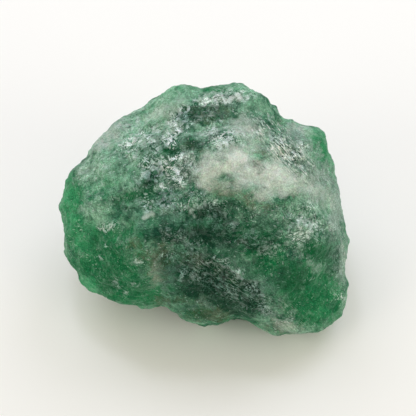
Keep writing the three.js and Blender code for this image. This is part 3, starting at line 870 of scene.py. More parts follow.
# How far threads and strokes stand up, in millimetres, and the strength of that relief.
SKIN_RELIEF = (("threads", 0.12), ("strokes", 0.07))
RELIEF_STRENGTH = 0.6

# The paper lies this far below the stone's rest face, so that the two surfaces never meet. Its
# tooth is this wide and this high.
PAPER_GAP = 0.02
PAPER_TOOTH = 0.35
PAPER_RELIEF = 0.05
PAPER_STEPS = 40

# The lights: name, the setting that gives its power and its share of that, tint, and its width and
# place in metres.
DAYLIGHT = "#e4eaff"
LAMPLIGHT = "#fff8ec"
ROOM_LIGHT = "#fffaf0"
LIGHTS = (
    ("left_window", "window_power", 1, DAYLIGHT, 0.18, (-0.1, 0.14, 0.21)),
    ("right_window", "window_power", 1.3, DAYLIGHT, 0.18, (0.12, 0.14, 0.21)),
    ("lamp", "lamp_power", 1, DAYLIGHT, 0.05, (-0.04, 0.08, 0.28)),
    ("left_fill", "fill_power", 1, LAMPLIGHT, 0.2, (-0.26, -0.16, 0.18)),
    ("right_fill", "fill_power", 1, LAMPLIGHT, 0.2, (0.26, -0.16, 0.16)),
)


def linear(colour):
    """Turns an sRGB hex colour into the linear red, green and blue that shaders work in."""
    parts = [int(colour[k : k + 2], 16) / 255 for k in (1, 3, 5)]
    return [p / 12.92 if p <= 0.04045 else ((p + 0.055) / 1.055) ** 2.4 for p in parts]


def smoothstep(values, low, high):
    """0 below low and 1 above high, with 3t² - 2t³ between them."""
    t = np.clip((values - low) / (high - low), 0, 1)
    return t * t * (3 - 2 * t)


def soft_min(a, b, rounding):
    """The lesser of two lengths, rounded by a parabola where they are within `rounding`."""
    near = np.maximum(rounding - np.abs(a - b), 0) / rounding
    return np.minimum(a, b) - near**2 * rounding / 4


def scatter(numbers):
    """A repeatable number from 0 to 1 for each number: the fraction of a large sine."""
    x = np.sin(numbers * 12.9898 + 4.1414) * 43758.5453
    return x - np.floor(x)


def even_directions(count):
    """Directions spread over a ball: even steps of height, each turned on by the golden angle."""
    k = np.arange(count)
    z = 1 - (2 * k + 1) / count
    flat = np.sqrt(1 - z**2)
    return np.stack([flat * np.cos(k * GOLDEN_TURN), flat * np.sin(k * GOLDEN_TURN), z], axis=1)


def outline_by_degree():
    """The outline's distance from the centre at each whole degree, straight between its points."""
    points = np.array(OUTLINE)
    angles = np.degrees(np.arctan2(points[:, 1], points[:, 0])) % 360
    return np.interp(np.arange(360), angles, np.hypot(points[:, 0], points[:, 1]), period=360)


def ring_average(values, window):
    """Each value's mean with its neighbours up to `window` places away, round the ring."""
    return np.mean([np.roll(values, k) for k in range(-window, window + 1)], axis=0)


def read_ring(values, angles):
    """A ring of whole-degree values, read between them at angles in radians."""
    return np.interp(np.degrees(angles) % 360, np.arange(361), np.append(values, values[0]))


FINE_OUTLINE = ring_average(outline_by_degree(), FINE_WINDOW)
BROAD_OUTLINE = ring_average(FINE_OUTLINE, BROAD_WINDOW)
WAVE_DIRECTIONS = even_directions(WAVES_PER_RIPPLE)


def pillow_reach(directions):
    """The broad outline drawn out to the front and back depths. With a the distance across as a
    share of the outline and b the depth as a share of its limit, aᵖ + bᵖ = 1."""
    angles = np.arctan2(directions[:, 1], directions[:, 0])
    across = np.hypot(directions[:, 0], directions[:, 1]) / read_ring(BROAD_OUTLINE, angles)
    along = np.abs(directions[:, 2]) / np.where(directions[:, 2] > 0, FRONT_DEPTH, BACK_DEPTH)
    return (across**PILLOW_POWER + along**PILLOW_POWER) ** (-1 / PILLOW_POWER)


def on_pillow(x, y, side):
    """The point of the pillow that shows at x and y in the outline's view, front or back."""
    across = math.hypot(x, y) / read_ring(BROAD_OUTLINE, math.atan2(y, x))
    depth = FRONT_DEPTH if side > 0 else BACK_DEPTH
    return np.array([x, y, side * depth * (1 - min(across, 1) ** PILLOW_POWER) ** (1 / PILLOW_POWER)])


def chip_faces():
    """Shallow flat cuts square to evenly spread directions, each a chance depth inside the
    pillow's tangent plane, and none of them where the outline is held."""
    directions = even_directions(TANGENT_SAMPLES)
    pillow = directions * pillow_reach(directions)[:, None]
    looks = even_directions(CHIP_COUNT)
    tangents = (pillow @ looks.T).max(axis=0)
    onset = smoothstep(np.abs(looks[:, 2]), *CHIP_ONSET)
    depths = CHIP_DEPTH * scatter(np.arange(CHIP_COUNT)) * onset
    return list(zip(looks, tangents - depths))


def cut_by_faces(reach, directions, faces, rounding):
    """Cuts rays back where they meet flat faces: a face's distance over the cosine to it."""
    for looks, distance in faces:
        unit = np.array(looks) / np.linalg.norm(looks)
        facing = directions @ unit
        plane = np.where(facing > GRAZING, distance / np.maximum(facing, GRAZING), np.inf)
        reach = soft_min(reach, plane, rounding)
    return reach


def turned(points, x, y, turn):
    """Distances along and across a line at `turn` degrees through x, y in the outline's view."""
    t = math.radians(turn)
    dx = points[:, 0] - x
    dy = points[:, 1] - y
    return dx * math.cos(t) + dy * math.sin(t), dy * math.cos(t) - dx * math.sin(t)


def knob_rise(points, x, y, side, rise, long, wide, turn):
    """A bell curve exp(-r²) on its own long and short axes, as deep as it is long."""
    along, across = turned(points, x, y, turn)
    deep = (points[:, 2] - on_pillow(x, y, side)[2]) / max(long, wide)
    return rise * np.exp(-((along / long) ** 2 + (across / wide) ** 2 + deep**2))


def ledge_rise(points, x0, y0, x1, y1, side, drop, reach):
    """A drop across the scarp that recovers as exp(-(d/reach)²), fading past its two ends."""
    length = math.hypot(x1 - x0, y1 - y0)
    along, left = turned(points, x0, y0, math.degrees(math.atan2(y1 - y0, x1 - x0)))
    ends = smoothstep(along, -LEDGE_FADE, LEDGE_FADE) * smoothstep(length - along, -LEDGE_FADE, LEDGE_FADE)
    facing = smoothstep(side * points[:, 2], 0, LEDGE_FADE * 2)
    step = smoothstep(-left, -SCARP_WIDTH / 2, SCARP_WIDTH / 2)
    return -drop * step * np.exp(-((np.maximum(-left, 0) / reach) ** 2)) * ends * facing


def waves(points, length, seed):
    """A sum of sine waves that run every way, with lengths about the stated one, of spread 1."""
    k = np.arange(WAVES_PER_RIPPLE)
    shortest, longest = WAVE_LENGTHS
    own = length * (shortest + (longest - shortest) * scatter(seed + k))
    phase = 2 * np.pi * scatter(seed + k + PHASE_SEED)
    total = np.sin(2 * np.pi * (points @ WAVE_DIRECTIONS.T) / own + phase).sum(axis=1)
    return total / math.sqrt(WAVES_PER_RIPPLE / 2)


def lump_reach(directions):
    """The lump's distance from its centre in each direction of the outline's view: the pillow,
    cut by its faces, with the outline's nicks, the knobs, the ledges and the ripples added."""
    reach = pillow_reach(directions)
    reach = cut_by_faces(reach, directions, MAIN_FACES, EDGE_ROUNDING)
    reach = cut_by_faces(reach, directions, chip_faces(), CHIP_ROUNDING)
    points = directions * reach[:, None]
    angles = np.arctan2(directions[:, 1], directions[:, 0])
    nicks = read_ring(FINE_OUTLINE, angles) - read_ring(BROAD_OUTLINE, angles)
    reach = reach + nicks * np.exp(-((directions[:, 2] / NICK_FADE) ** 2))
    for knob in KNOBS + NICKS:
        reach = reach + knob_rise(points, *knob)
    for ledge in LEDGES:
        reach = reach + ledge_rise(points, *ledge)
    onset = smoothstep(np.abs(directions[:, 2]), 0, RIPPLE_ONSET)
    held = RIPPLE_AT_OUTLINE + (1 - RIPPLE_AT_OUTLINE) * onset
    for k, (length, height) in enumerate(RIPPLES):
        share = held if length > FREE_RIPPLE else 1
        reach = reach + share * height * waves(points, length, RIPPLE_SEED_STEP * (k + 1))
    return reach


def grain_tilt(points, size):
    """Little flat facets. Space is cut into grains, each nearest to its own seed point, one seed
    to a cube of the given size. A point's height is its place in its grain along a chance slope."""
    place = points / size
    home = np.floor(place)
    nearest = np.full(len(points), np.inf)
    height = np.zeros(len(points))
    for offset in itertools.product((-1, 0, 1), repeat=3):
        cell = home + offset
        number = cell @ GRAIN_STRIDES + GRAIN_SEED
        inside = [scatter(number + GRAIN_POINT_STEP * k) for k in range(3)]
        slopes = [scatter(number + GRAIN_SLOPE_START + GRAIN_SLOPE_STEP * k) for k in range(3)]
        grain = cell + np.stack(inside, axis=1)
        slope = np.stack(slopes, axis=1) * 2 - 1
        distance = np.linalg.norm(place - grain, axis=1)
        nearer = distance < nearest
        nearest = np.where(nearer, distance, nearest)
        height = np.where(nearer, ((place - grain) * slope).sum(axis=1), height)
    return height * size


def patch_cover(points, patches):
    """How much of each point a set of soft-edged ellipses covers, on the outline's front."""
    bare = np.ones(len(points))
    for x, y, long, wide, turn, strength in patches:
        along, across = turned(points, x, y, turn)
        out = np.hypot(along / long, across / wide)
        inside = 1 - smoothstep(out, 1 - PATCH_SOFTNESS, 1 + PATCH_SOFTNESS)
        bare = bare * (1 - strength * inside)
    return 1 - bare


def as_seen(points):
    """Where points of the outline's view stand for an eye at EYE_DISTANCE: nearer ones spread out
    from the middle of the frame by the distance to the outline over their own distance."""
    seen = points.copy()
    spread = EYE_DISTANCE / (EYE_DISTANCE - points[:, 2:])
    seen[:, :2] = FRAME_CENTRE + (points[:, :2] - FRAME_CENTRE) * spread
    return seen


def wandered(points):
    """Points moved about by slow waves, so that a patch's edge wanders as a mineral's does."""
    moved = points.copy()
    for step, (length, distance) in enumerate(PATCH_WANDER):
        for axis in range(2):
            seed = WANDER_SEED + WANDER_SEED_STEP * (2 * step + axis)
            moved[:, axis] += distance * waves(points, length, seed)
    return moved


def mineral_cover(points):
    """Each mineral's share at each point, painted light and shade among them: its patches in front,
    and clouds of chance behind.
    """
    edge = BACK_EDGE + BACK_EDGE_WANDER * waves(points, BACK_EDGE_WAVE, BACK_EDGE_SEED)
    front = smoothstep(points[:, 2] - edge, -BACK_EDGE_FADE, BACK_EDGE_FADE)
    moved = wandered(as_seen(points))
    covers = {}
    for k, (name, (patches, amount, size)) in enumerate(MINERALS.items()):
        level = waves(points, size, BACK_SEED + BACK_SEED_STEP * k) + 2 * amount - 1
        chance = BACK_MOST * smoothstep(level, *BACK_LEVELS)
        covers[name] = front * patch_cover(moved, patches) + (1 - front) * chance
    for name in ("sugar", "frost_and_glint"):
        covers[name] = covers[name] * (1 - MILK_FILLS * covers["milk"])
    return covers


def fibre_places(points):
    """Each point's share of fibre, and how far it lies along, across and in front of the fibres
    of the patch that holds it most."""
    seen = as_seen(points)
    front = smoothstep(points[:, 2], *FIBRE_ONSET)
    places = {name: np.zeros(len(points)) for name in ("fibre", "along", "across")}
    places["forward"] = points[:, 2]
    for x, y, long, wide, turn, strength in FIBRE_PATCHES:
        along, across = turned(seen, x, y, turn)
        out = np.hypot(along / long, across / wide)
        share = front * strength * (1 - smoothstep(out, *FIBRE_EDGE))
        held = share > places["fibre"]
        for name, values in (("fibre", share), ("along", along), ("across", across)):
            places[name] = np.where(held, values, places[name])
    return places


def fibre_ridges(places):
    """Ridges along the fibres, from -1 to 1: waves as long as the ridges' spacing, in a space that
    is squeezed along them and in depth, by the spacing over their length and over their depth."""
    along = places["along"] * FIBRE_SPACING / FIBRE_LENGTH
    forward = places["forward"] * FIBRE_SPACING / FIBRE_DEPTH
    squeezed = np.stack([along, places["across"], forward], axis=1)
    swing = FIBRE_SWING * waves(squeezed, FIBRE_SPACING, FIBRE_SEED)
    return places["fibre"] * np.clip(swing, -1, 1)


def grid_faces(steps):
    """The four-cornered faces of a square grid, each from the numbers of its corners. Points are
    numbered row after row."""
    first = (np.arange(steps)[:, None] * (steps + 1) + np.arange(steps)).ravel()
    return np.stack([first, first + steps + 1, first + steps + 2, first + 1], axis=1)


def round_grid(steps):
    """Directions and four-cornered faces of a ball. Each side of a cube is a square grid of two
    parameters, a and b, from -1 to 1, whose point (1, tan 45°a, tan 45°b) is turned to that side
    and brought to length 1. Points that two sides share are one, by their whole-number places."""
    i, j = np.meshgrid(np.arange(steps + 1), np.arange(steps + 1), indexing="ij")
    quads = grid_faces(steps)
    places = []
    faces = []
    for axis, side in itertools.product(range(3), (0, steps)):
        place = np.empty((steps + 1, steps + 1, 3), dtype=int)
        place[..., axis] = side
        place[..., (axis + 1) % 3] = i
        place[..., (axis + 2) % 3] = j
        ordered = quads if side else quads[:, ::-1]
        faces.append(ordered + len(places) * (steps + 1) ** 2)
        places.append(place.reshape(-1, 3))
    shared, numbers = np.unique(np.concatenate(places), axis=0, return_inverse=True)
    cube = np.tan((2 * shared / steps - 1) * np.pi / 4)
    return cube / np.linalg.norm(cube, axis=1, keepdims=True), numbers.ravel()[np.concatenate(faces)]


def to_view(vectors):
    """Turns vectors of the part's frame into the outline's view."""
    sin, cos = math.sin(OUTLINE_TILT), math.cos(OUTLINE_TILT)
    x, y, z = vectors.T
    return np.stack([x, y * sin + z * cos, z * sin - y * cos], axis=1)


def add_node(tree, kind, inputs=None, **settings):
    """Adds a shader node. `settings` are its own properties. `inputs` gives each socket, by name,
    identifier or place, its value or the node or socket that feeds it."""
    node = tree.nodes.new(kind)
    for name, value in settings.items():
        setattr(node, name, value)
    for key, value in (inputs or {}).items():
        named = [s for s in node.inputs if key in (s.identifier, s.name)]
        socket = named[0] if named else node.inputs[key]
        if isinstance(value, bpy.types.Node):
            value = next(s for s in value.outputs if s.enabled)
        if isinstance(value, bpy.types.NodeSocket):
            tree.links.new(value, socket)
        else:
            socket.default_value = value
    return node


def colour_setting(name, description, colour):
    """A colour for the panel, from its sRGB hex value."""
    return bpy.props.FloatVectorProperty(
        name=name, description=description, subtype="COLOR", default=linear(colour)
    )


def small_length(name, description, millimetres):
    """A length for the panel that needs more decimals than usual."""
    return bpy.props.FloatProperty(
        name=name, description=description, default=millimetres * MM,
        subtype="DISTANCE", unit="LENGTH", precision=5,
    )


def light_power(name, description, watts):
    """The power of a light for the panel."""
    return bpy.props.FloatProperty(name=name, description=description, default=watts, unit="POWER")


class EmeraldSettings(bpy.types.PropertyGroup):
    """Sizes and colours of the emerald lump"""

    grid_steps: bpy.props.IntProperty(
        name="Grid steps", description="Steps along each side of the six grids",
        default=128, min=16, max=129,
    )
    grain_size: small_length("Grain size", "Width of one grain of a broken face", 0.62)
    grain_slope: bpy.props.FloatProperty(
        name="Grain slope", description="Steepest tilt of a grain's facet", default=0.42
    )
    fibre_height: small_length("Fibre height", "Height of the ridges of fibrous faces", 0.09)
    body: colour_setting("Body", "Plain cloudy green", "#377354")
    # Pale green of the body's clouds, and of the rims, where it partly paints light coming through
    pale: colour_setting("Pale body", "Where the green is thin", "#92c2a3")
    deep: colour_setting("Deep green", "Clearer, richer green", "#06713f")
    milk: colour_setting("Milk", "White cloud", "#e0e7dc")
    mica: colour_setting("Mica", "Dark flaky bands", "#0d442e")
    rust: colour_setting("Rust", "Brownish stain", "#5f6248")
    gloom: colour_setting("Gloom", "Bluish depths of the body", "#174a38")
    # Painted light: the green of thin edges that light comes through
    glow: colour_setting("Glow", "Thin edges that light comes through", "#3f9e68")
    # Painted shade, and partly the stone's depth
    depth_and_shade: colour_setting("Dim", "What depth leaves of the light", "#80aea4")
    # Grey haze, and along the edges partly a painted sheen
    ash: colour_setting("Ash", "Grey haze", "#97ada1")
    # White of bruised grains, and of painted glints
    frost_and_glint: colour_setting("Frost", "Bruised white grains", "#eaf6f1")
    # White of bruised fibres, and of painted glints on their crests
    splinter: colour_setting("Splinter", "Bruised fibres", "#e8f1e8")


class StageSettings(bpy.types.PropertyGroup):
    """Paper, light and camera"""

    paper: colour_setting("Paper", "Colour of the sheet", "#fafaf6")
    paper_radius: bpy.props.FloatProperty(
        name="Paper radius", description="Half the sheet's width", default=0.6, unit="LENGTH"
    )
    window_power: light_power("Main lights", "Each broad light behind and to the side", 0.135)
    lamp_power: light_power("Small light", "The small light that makes facets glint", 0.07)
    fill_power: light_power("Fill lights", "Each soft light in front, to lift the shadow", 0.2)
    sky_strength: bpy.props.FloatProperty(
        name="Room light", description="Strength of the even light all round", default=0.6
    )


def bare_material(name):
    """A material with nothing in its node tree yet, and that tree."""
    material = bpy.data.materials.new(name)
    material.use_nodes = True
    material.node_tree.nodes.clear()
    return material, material.node_tree


def stone_shares(tree):
    """How much of each mineral and of painted light and shade there is, where the fibres run, and
    where the marks of breakage go, all by name. A mark's share starts at a value, and each mineral's
    cover adds to it by a weight. Each step keeps to 0 and above, which is the same as keeping to it
    at the end, because the gains come before the losses."""
    names = (*MINERALS, "fibre", "along", "across", "forward")
    shares = {}
    for name in names:
        shares[name] = add_node(tree, "ShaderNodeAttribute", attribute_name=name).outputs["Fac"]
    for name, (total, weights) in MARK_PLACES.items():
        for mineral, weight in weights.items():
            total = add_node(
                tree,
                "ShaderNodeMath",
                {0: shares[mineral], 1: weight, 2: total},
                operation="MULTIPLY_ADD",
                use_clamp=True,
            )
        shares[name] = total
    return shares


def stone_patterns(tree, shares):
    """The patterns that the stone's colours and skin are made of, all by name."""
    place = add_node(tree, "ShaderNodeTexCoord").outputs["Object"]
    mm = add_node(tree, "ShaderNodeMapping", {"Vector": place, "Scale": (1 / MM, 1 / MM, 1 / MM)})

    # The place is bent a little, so that no cloud or grain is round.
    sway = add_node(
        tree, "ShaderNodeTexNoise", {"Vector": mm, "Scale": 1 / SWAY_WIDTH, "Detail": 2.0}
    )
    bent = add_node(
        tree,
        "ShaderNodeVectorMath",
        {0: sway.outputs["Color"], 1: (SWAY_REACH, SWAY_REACH, SWAY_REACH), 2: mm},
        operation="MULTIPLY_ADD",
    )
    patterns = {"mm": mm, "bent": bent}
    patterns["fine"] = add_node(
        tree, "ShaderNodeTexNoise", {"Vector": mm, "Scale": 1 / FINE_WIDTH, "Detail": 1.0}
    )
    patterns["clumps"] = add_node(
        tree,
        "ShaderNodeTexNoise",
        {"Vector": bent, "Scale": 1 / CLUMP_WIDTH, "Detail": 4.0, "Roughness": 0.6},
    )
    patterns["threads"] = add_node(
        tree,
        "ShaderNodeTexNoise",
        {"Vector": bent, "Scale": 1 / THREAD_WIDTH, "Detail": 4.0, "Roughness": 0.6, "Lacunarity": 2.2},
        noise_type="RIDGED_MULTIFRACTAL",
    )
    grains, flakes = (
        add_node(tree, "ShaderNodeTexVoronoi", {"Vector": bent, "Scale": 1 / width}, feature="F1")
        for width in (GRAIN_WIDTH, FLAKE_WIDTH)
    )
    patterns["flakes"] = flakes.outputs["Color"]

    # Each grain is hatched with strokes that run its own way.
    way = add_node(
        tree, "ShaderNodeVectorMath", {0: grains.outputs["Color"], "Scale": 2 * math.pi}, operation="SCALE"
    )
    hatch = add_node(
        tree, "ShaderNodeVectorRotate", {"Vector": mm, "Rotation": way}, rotation_type="EULER_XYZ"
    )
    hatch = add_node(
        tree, "ShaderNodeMapping", {"Vector": hatch, "Scale": [1 / size for size in STROKE_SIZE]}
    )
    patterns["strokes"] = add_node(
        tree, "ShaderNodeTexNoise", {"Vector": hatch, "Scale": 1.0, "Detail": 2.0, "Roughness": 0.6}
    )

    # Nicks are dashes of chance size: cones of chance height, one to a cell, that a level cuts.
    cells = add_node(
        tree, "ShaderNodeTexVoronoi", {"Vector": hatch, "Scale": NICKS_PER_STROKE}, feature="F1"
    )
    patterns["nicks"] = add_node(
        tree,
        "ShaderNodeMath",
        {0: cells.outputs["Distance"], 1: -NICK_SLOPE, 2: cells.outputs["Color"]},
        operation="MULTIPLY_ADD",
    )

    # Arcs round the grains' middles, above 0 on the side that the grain's chance direction looks to
    # and below 0 on the other, paint the lit and the shaded side of a small pit.
    ring = add_node(
        tree,
        "ShaderNodeMath",
        {0: grains.outputs["Distance"], 1: ARC_RADIUS, 2: ARC_BREADTH},
        operation="COMPARE",
    )
    offset = add_node(
        tree, "ShaderNodeVectorMath", {0: bent, 1: grains.outputs["Position"]}, operation="SUBTRACT"
    )
    looks = add_node(
        tree, "ShaderNodeVectorMath", {0: grains.outputs["Color"], 1: MIDDLE}, operation="SUBTRACT"
    )
    side = add_node(tree, "ShaderNodeVectorMath", {0: offset, 1: looks}, operation="DOT_PRODUCT")
    patterns["arcs"] = add_node(
        tree, "ShaderNodeMath", {0: ring, 1: side.outputs["Value"]}, operation="MULTIPLY"
    )

    # Threads of the fibrous faces, laid along their fibres.
    laid = add_node(
        tree, "ShaderNodeCombineXYZ", {"X": shares["along"], "Y": shares["across"], "Z": shares["forward"]}
    )
    laid = add_node(
        tree, "ShaderNodeMapping", {"Vector": laid, "Scale": [1 / size for size in FIBRE_THREAD]}
    )
    patterns["fibres"] = add_node(
        tree, "ShaderNodeTexNoise", {"Vector": laid, "Scale": 1.0, "Detail": 3.0, "Distortion": 0.8}
    )
    return patterns


def body_coats(tree, look, shares, bent):
    """The stone's clouds and minerals as coats, some of them partly painted light, the lowest first: a
    coat's share, its colour, and how it blends with what lies below it."""
    coats = []
    for name, size, low, high, most in BODY_CLOUDS:
        cloud = add_node(
            tree,
            "ShaderNodeTexNoise",
            {"Vector": bent, "Scale": 1 / size, "Detail": 6.0, "Roughness": 0.65},
        )
        share = add_node(
            tree, "ShaderNodeMapRange", {"Value": cloud, "From Min": low, "From Max": high, "To Max": most}
        )
        coats.append((share, (*getattr(look, name), 1), "MIX"))

    # A mineral takes a spot where its cover outdoes a chance level.
    low, high = NOISE_SPREAD
    for name, size, ragged, softness, most in MINERAL_EDGES:
        noise = add_node(
            tree,
            "ShaderNodeTexNoise",
            {"Vector": bent, "Scale": 1 / size, "Detail": 4.0, "Roughness": 0.65},
        )
        chance = add_node(
            tree,
            "ShaderNodeMapRange",
            {"Value": noise, "From Min": low, "From Max": high, "To Max": ragged},
        )
        over = add_node(tree, "ShaderNodeMath", {0: shares[name], 1: chance}, operation="SUBTRACT")
        share = add_node(
            tree, "ShaderNodeMapRange", {"Value": over, "From Max": softness, "To Max": most}
        )
        coats.append((share, (*getattr(look, name), 1), "MIX"))
    return coats


def mark_coats(tree, look, shares, patterns):
    """The marks of breakage as coats, as body_coats gives them, painted glints and the painted light
    and shade of small pits among them. White flecks, of bruises and of painted glints, crowd together
    in clumps where it is sugary, and wherever frost and glints are placed. Fibres are bruised in
    bundles."""
    crowd, bundles = (
        add_node(
            tree,
            "ShaderNodeMapRange",
            {"Value": patterns["clumps"], "From Min": low, "From Max": high, "To Min": least},
        )
        for low, high, least in (CROWD_LEVELS, BUNDLE_LEVELS)
    )
    where = dict(shares)
    where["frosted_and_glinting"] = add_node(
        tree,
        "ShaderNodeMath",
        {0: crowd, 1: shares["sugar"], 2: shares["frost_and_glint"]},
        operation="MULTIPLY_ADD",
    )
    where["fibrous"] = add_node(
        tree, "ShaderNodeMath", {0: shares["fibre"], 1: bundles}, operation="MULTIPLY"
    )
    coats = []
    for pattern, low, high, name, most, place in MARKS:
        picked = add_node(
            tree,
            "ShaderNodeMapRange",
            {"Value": patterns[pattern], "From Min": low, "From Max": high, "To Max": most},
        )
        share = add_node(
            tree, "ShaderNodeMath", {0: picked, 1: where[place]}, operation="MULTIPLY", use_clamp=True
        )
        coats.append((share, (*getattr(look, name), 1), "MIX"))
    return coats


def uneven_skin(tree, shares, patterns):
    """The normal of a skin whose flakes each tilt by a chance direction, most where it is sugary,
    with fine threads and strokes raised on it."""
    normal = add_node(tree, "ShaderNodeNewGeometry").outputs["Normal"]
    looks = add_node(
        tree, "ShaderNodeVectorMath", {0: patterns["flakes"], 1: MIDDLE}, operation="SUBTRACT"
    )
    tilt = add_node(
        tree, "ShaderNodeVectorMath", {0: looks, "Scale": shares["tilted"]}, operation="SCALE"
    )
    tilted = add_node(tree, "ShaderNodeVectorMath", {0: normal, 1: tilt}, operation="ADD")
    skin = add_node(tree, "ShaderNodeVectorMath", {0: tilted}, operation="NORMALIZE")
    for name, height in SKIN_RELIEF:
        skin = add_node(
            tree,
            "ShaderNodeBump",
            {
                "Height": patterns[name],
                "Normal": skin,
                "Strength": RELIEF_STRENGTH,
                "Distance": height * MM,
            },
        )
    return skin


def cloudy_beryl(look):
    """Massive emerald, broken and a little worn by handling. Worn edges are waxy and let light in
    below a soft sheen, clouds of fluid make it milky, mica flakes make dark bands, and fresh
    breaks are sugary, with each grain's facet glinting on its own. Its colour also holds painted
    light and shade: a glow on thin edges, glints, the lit and shaded sides of small pits, and shade
    on the lower faces and in the hollows."""
    material, tree = bare_material("cloudy_beryl")
    shares = stone_shares(tree)
    patterns = stone_patterns(tree, shares)
    coats = body_coats(tree, look, shares, patterns["bent"])
    coats += mark_coats(tree, look, shares, patterns)

    # A fine grain, lighter and darker, runs through all of it, and over it lies a soft darkness,
    # painted shade on the lower faces, in the hollows and in the grooves, and partly the stone's depth.
    low, high = FINE_SPREAD
    dark, light = FINE_SHADES
    fine = add_node(
        tree,
        "ShaderNodeMapRange",
        {"Value": patterns["fine"], "From Min": low, "From Max": high, "To Min": dark, "To Max": light},
    )
    coats.append((shares["grainy"], fine, "MULTIPLY"))
    coats.append((shares["depth_and_shade"], (*look.depth_and_shade, 1), "MULTIPLY"))
    colour = (*look.body, 1)
    for share, coat, blend in coats:
        colour = add_node(
            tree,
            "ShaderNodeMix",
            {"Factor_Float": share, "A_Color": colour, "B_Color": coat},
            data_type="RGBA",
            blend_type=blend,
        )

    # Flakes that lie open glint. Roughness and the light that goes in differ between the worn
    # skin and a sugary break.
    low, high = OPEN_LEVELS
    opened = add_node(
        tree,
        "ShaderNodeMapRange",
        {"Value": patterns["flakes"], "From Min": low, "From Max": high, "To Max": OPEN_GLOSS},
    )
    gloss = add_node(
        tree, "ShaderNodeMath", {0: opened, 1: shares["sugar"], 2: SHUT_GLOSS}, operation="MULTIPLY_ADD"
    )
    roughness, light_let_in = (
        add_node(tree, "ShaderNodeMapRange", {"Value": shares["sugar"], "To Min": worn, "To Max": broken})
        for worn, broken in (ROUGHNESS, LIGHT_LET_IN)
    )
    shader = add_node(
        tree,
        "ShaderNodeBsdfPrincipled",
        {
            "Base Color": colour,
            "Roughness": roughness,
            "IOR": BERYL_IOR,
            "Specular IOR Level": gloss,
            "Normal": uneven_skin(tree, shares, patterns),
            "Subsurface Weight": light_let_in,
            "Subsurface Radius": LIGHT_SPREAD,
            "Subsurface Scale": LIGHT_REACH * MM,
        },
    )
    add_node(tree, "ShaderNodeOutputMaterial", {"Surface": shader})
    return material


def matt_paper(paper):
    """Uncoated white paper: no shine, and a faint tooth about a third of a millimetre across."""
    material, tree = bare_material("matt_paper")
    place = add_node(tree, "ShaderNodeTexCoord").outputs["Object"]
    tooth = add_node(
        tree, "ShaderNodeTexNoise", {"Vector": place, "Scale": 1 / (PAPER_TOOTH * MM), "Detail": 3.0}
    )
    bump = add_node(
        tree, "ShaderNodeBump", {"Height": tooth, "Strength": 0.15, "Distance": PAPER_RELIEF * MM}
    )
    shader = add_node(
        tree,
        "ShaderNodeBsdfPrincipled",
        {"Base Color": (*paper, 1), "Roughness": 0.85, "Specular IOR Level": 0.2, "Normal": bump},
    )
    add_node(tree, "ShaderNodeOutputMaterial", {"Surface": shader})
    return material


def new_mesh(name, points, faces, attributes=None):
    """An object at the origin from whole arrays: points in metres, faces by point number, and
    one number a point for each attribute."""
    mesh = bpy.data.meshes.new(name)
    mesh.from_pydata(points, [], faces)
    mesh.polygons.foreach_set("use_smooth", np.ones(len(faces), dtype=bool))
    for key, values in (attributes or {}).items():
        layer = mesh.attributes.new(key, "FLOAT", "POINT")
        layer.data.foreach_set("value", values.astype(np.float32))
    mesh.update()
    made = bpy.data.objects.new(name, mesh)
    bpy.context.scene.collection.objects.link(made)
    return made


def point_at(item, place, target):
    """Puts a light or camera at a place, with its -Z axis on the target and its Y axis up."""
    item.location = place
    item.rotation_euler = (Vector(target) - Vector(place)).to_track_quat("-Z", "Y").to_euler()


class SPECIMEN_OT_emerald_lump(bpy.types.Operator):
    """Make the lump's skin, with its grain, its minerals and its finish"""

    bl_idname = "specimen.emerald_lump"
    bl_label = "Emerald lump"

    def execute(self, context):
        settings = context.scene.emerald
        directions, faces = round_grid(settings.grid_steps)
        in_view = to_view(directions)
        reach = lump_reach(in_view)
        skin = in_view * reach[:, None]
        covers = mineral_cover(skin)
        places = fibre_places(skin)
        grain = grain_tilt(skin, settings.grain_size / MM)
        onset = smoothstep(np.abs(in_view[:, 2]), *GRAIN_ONSET)
        reach = reach + onset * covers["sugar"] * settings.grain_slope * grain
        reach = reach + onset * settings.fibre_height / MM * fibre_ridges(places)
        down = np.maximum(-directions[:, 2], TINY)
        to_rest = np.where(directions[:, 2] < 0, REST_DEPTH / down, np.inf)
        reach = soft_min(reach, to_rest, REST_EDGE_ROUNDING)
        points = (directions * reach[:, None] + BODY_CENTRE) * MM
        lump = new_mesh("emerald_skin", points, faces, covers | places)
        lump.data.materials.append(cloudy_beryl(settings))
        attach(lump, "root")
        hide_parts("emerald_lump")
        return {"FINISHED"}


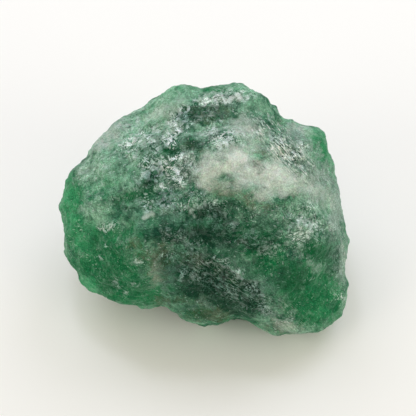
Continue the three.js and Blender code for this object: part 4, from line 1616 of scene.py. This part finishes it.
class SPECIMEN_OT_paper_stage(bpy.types.Operator):
    """Lay the sheet of paper, and set the lights and the camera"""

    bl_idname = "specimen.paper_stage"
    bl_label = "Paper stage"

    def execute(self, context):
        settings = context.scene.specimen_stage
        places = np.linspace(-settings.paper_radius, settings.paper_radius, PAPER_STEPS + 1)
        x, y = np.meshgrid(places, places, indexing="ij")
        flat = np.stack([x, y, np.full_like(x, -PAPER_GAP * MM)], axis=-1)
        sheet = new_mesh("paper_sheet", flat.reshape(-1, 3), grid_faces(PAPER_STEPS))
        sheet.data.materials.append(matt_paper(settings.paper))

        scene = context.scene
        scene.view_settings.view_transform = "Standard"
        world = bpy.data.worlds.new("room_light")
        world.use_nodes = True
        background = world.node_tree.nodes["Background"]
        background.inputs["Color"].default_value = (*linear(ROOM_LIGHT), 1)
        background.inputs["Strength"].default_value = settings.sky_strength
        scene.world = world

        middle = Vector(BODY_CENTRE * MM)
        for name, power, share, tint, width, place in LIGHTS:
            shine = bpy.data.lights.new(name, "AREA")
            shine.shape = "DISK"
            shine.size = width
            shine.energy = getattr(settings, power) * share
            shine.color = linear(tint)
            light = bpy.data.objects.new(name, shine)
            scene.collection.objects.link(light)
            point_at(light, place, middle)

        camera = bpy.data.cameras.new("camera")
        camera.lens = CAMERA_LENS
        camera.sensor_width = CAMERA_SENSOR
        camera.clip_start = CAMERA_CLIP
        watcher = bpy.data.objects.new("camera", camera)
        scene.collection.objects.link(watcher)
        up = Vector((0, math.sin(OUTLINE_TILT), math.cos(OUTLINE_TILT)))
        towards = Vector((0, -math.cos(OUTLINE_TILT), math.sin(OUTLINE_TILT)))
        aim = middle + Vector((FRAME_CENTRE[0] * MM, 0, 0)) + up * FRAME_CENTRE[1] * MM
        point_at(watcher, aim + towards * EYE_DISTANCE * MM, aim)
        scene.camera = watcher
        return {"FINISHED"}


class SPECIMEN_PT_panel(bpy.types.Panel):
    """Lists the specimen's settings and what makes its pieces"""

    bl_idname = "SPECIMEN_PT_panel"
    bl_label = "Emerald specimen"
    bl_space_type = "VIEW_3D"
    bl_region_type = "UI"
    bl_category = "Specimen"

    def draw(self, context):
        layout = self.layout
        for settings, operator in (
            (context.scene.specimen_stage, SPECIMEN_OT_paper_stage),
            (context.scene.emerald, SPECIMEN_OT_emerald_lump),
        ):
            box = layout.box()
            for name in settings.__annotations__:
                box.prop(settings, name)
            box.operator(operator.bl_idname)


CLASSES = (
    EmeraldSettings,
    StageSettings,
    SPECIMEN_OT_paper_stage,
    SPECIMEN_OT_emerald_lump,
    SPECIMEN_PT_panel,
)


def register():
    """Adds the classes, and their settings to the scene."""
    for each in CLASSES:
        bpy.utils.register_class(each)
    bpy.types.Scene.emerald = bpy.props.PointerProperty(type=EmeraldSettings)
    bpy.types.Scene.specimen_stage = bpy.props.PointerProperty(type=StageSettings)


def unregister():
    """Takes the settings and the classes away again."""
    del bpy.types.Scene.specimen_stage
    del bpy.types.Scene.emerald
    for each in reversed(CLASSES):
        bpy.utils.unregister_class(each)


def main():
    """Makes the stage and the specimen."""
    register()
    bpy.ops.specimen.paper_stage()
    bpy.ops.specimen.emerald_lump()


if __name__ == "__main__":
    main()
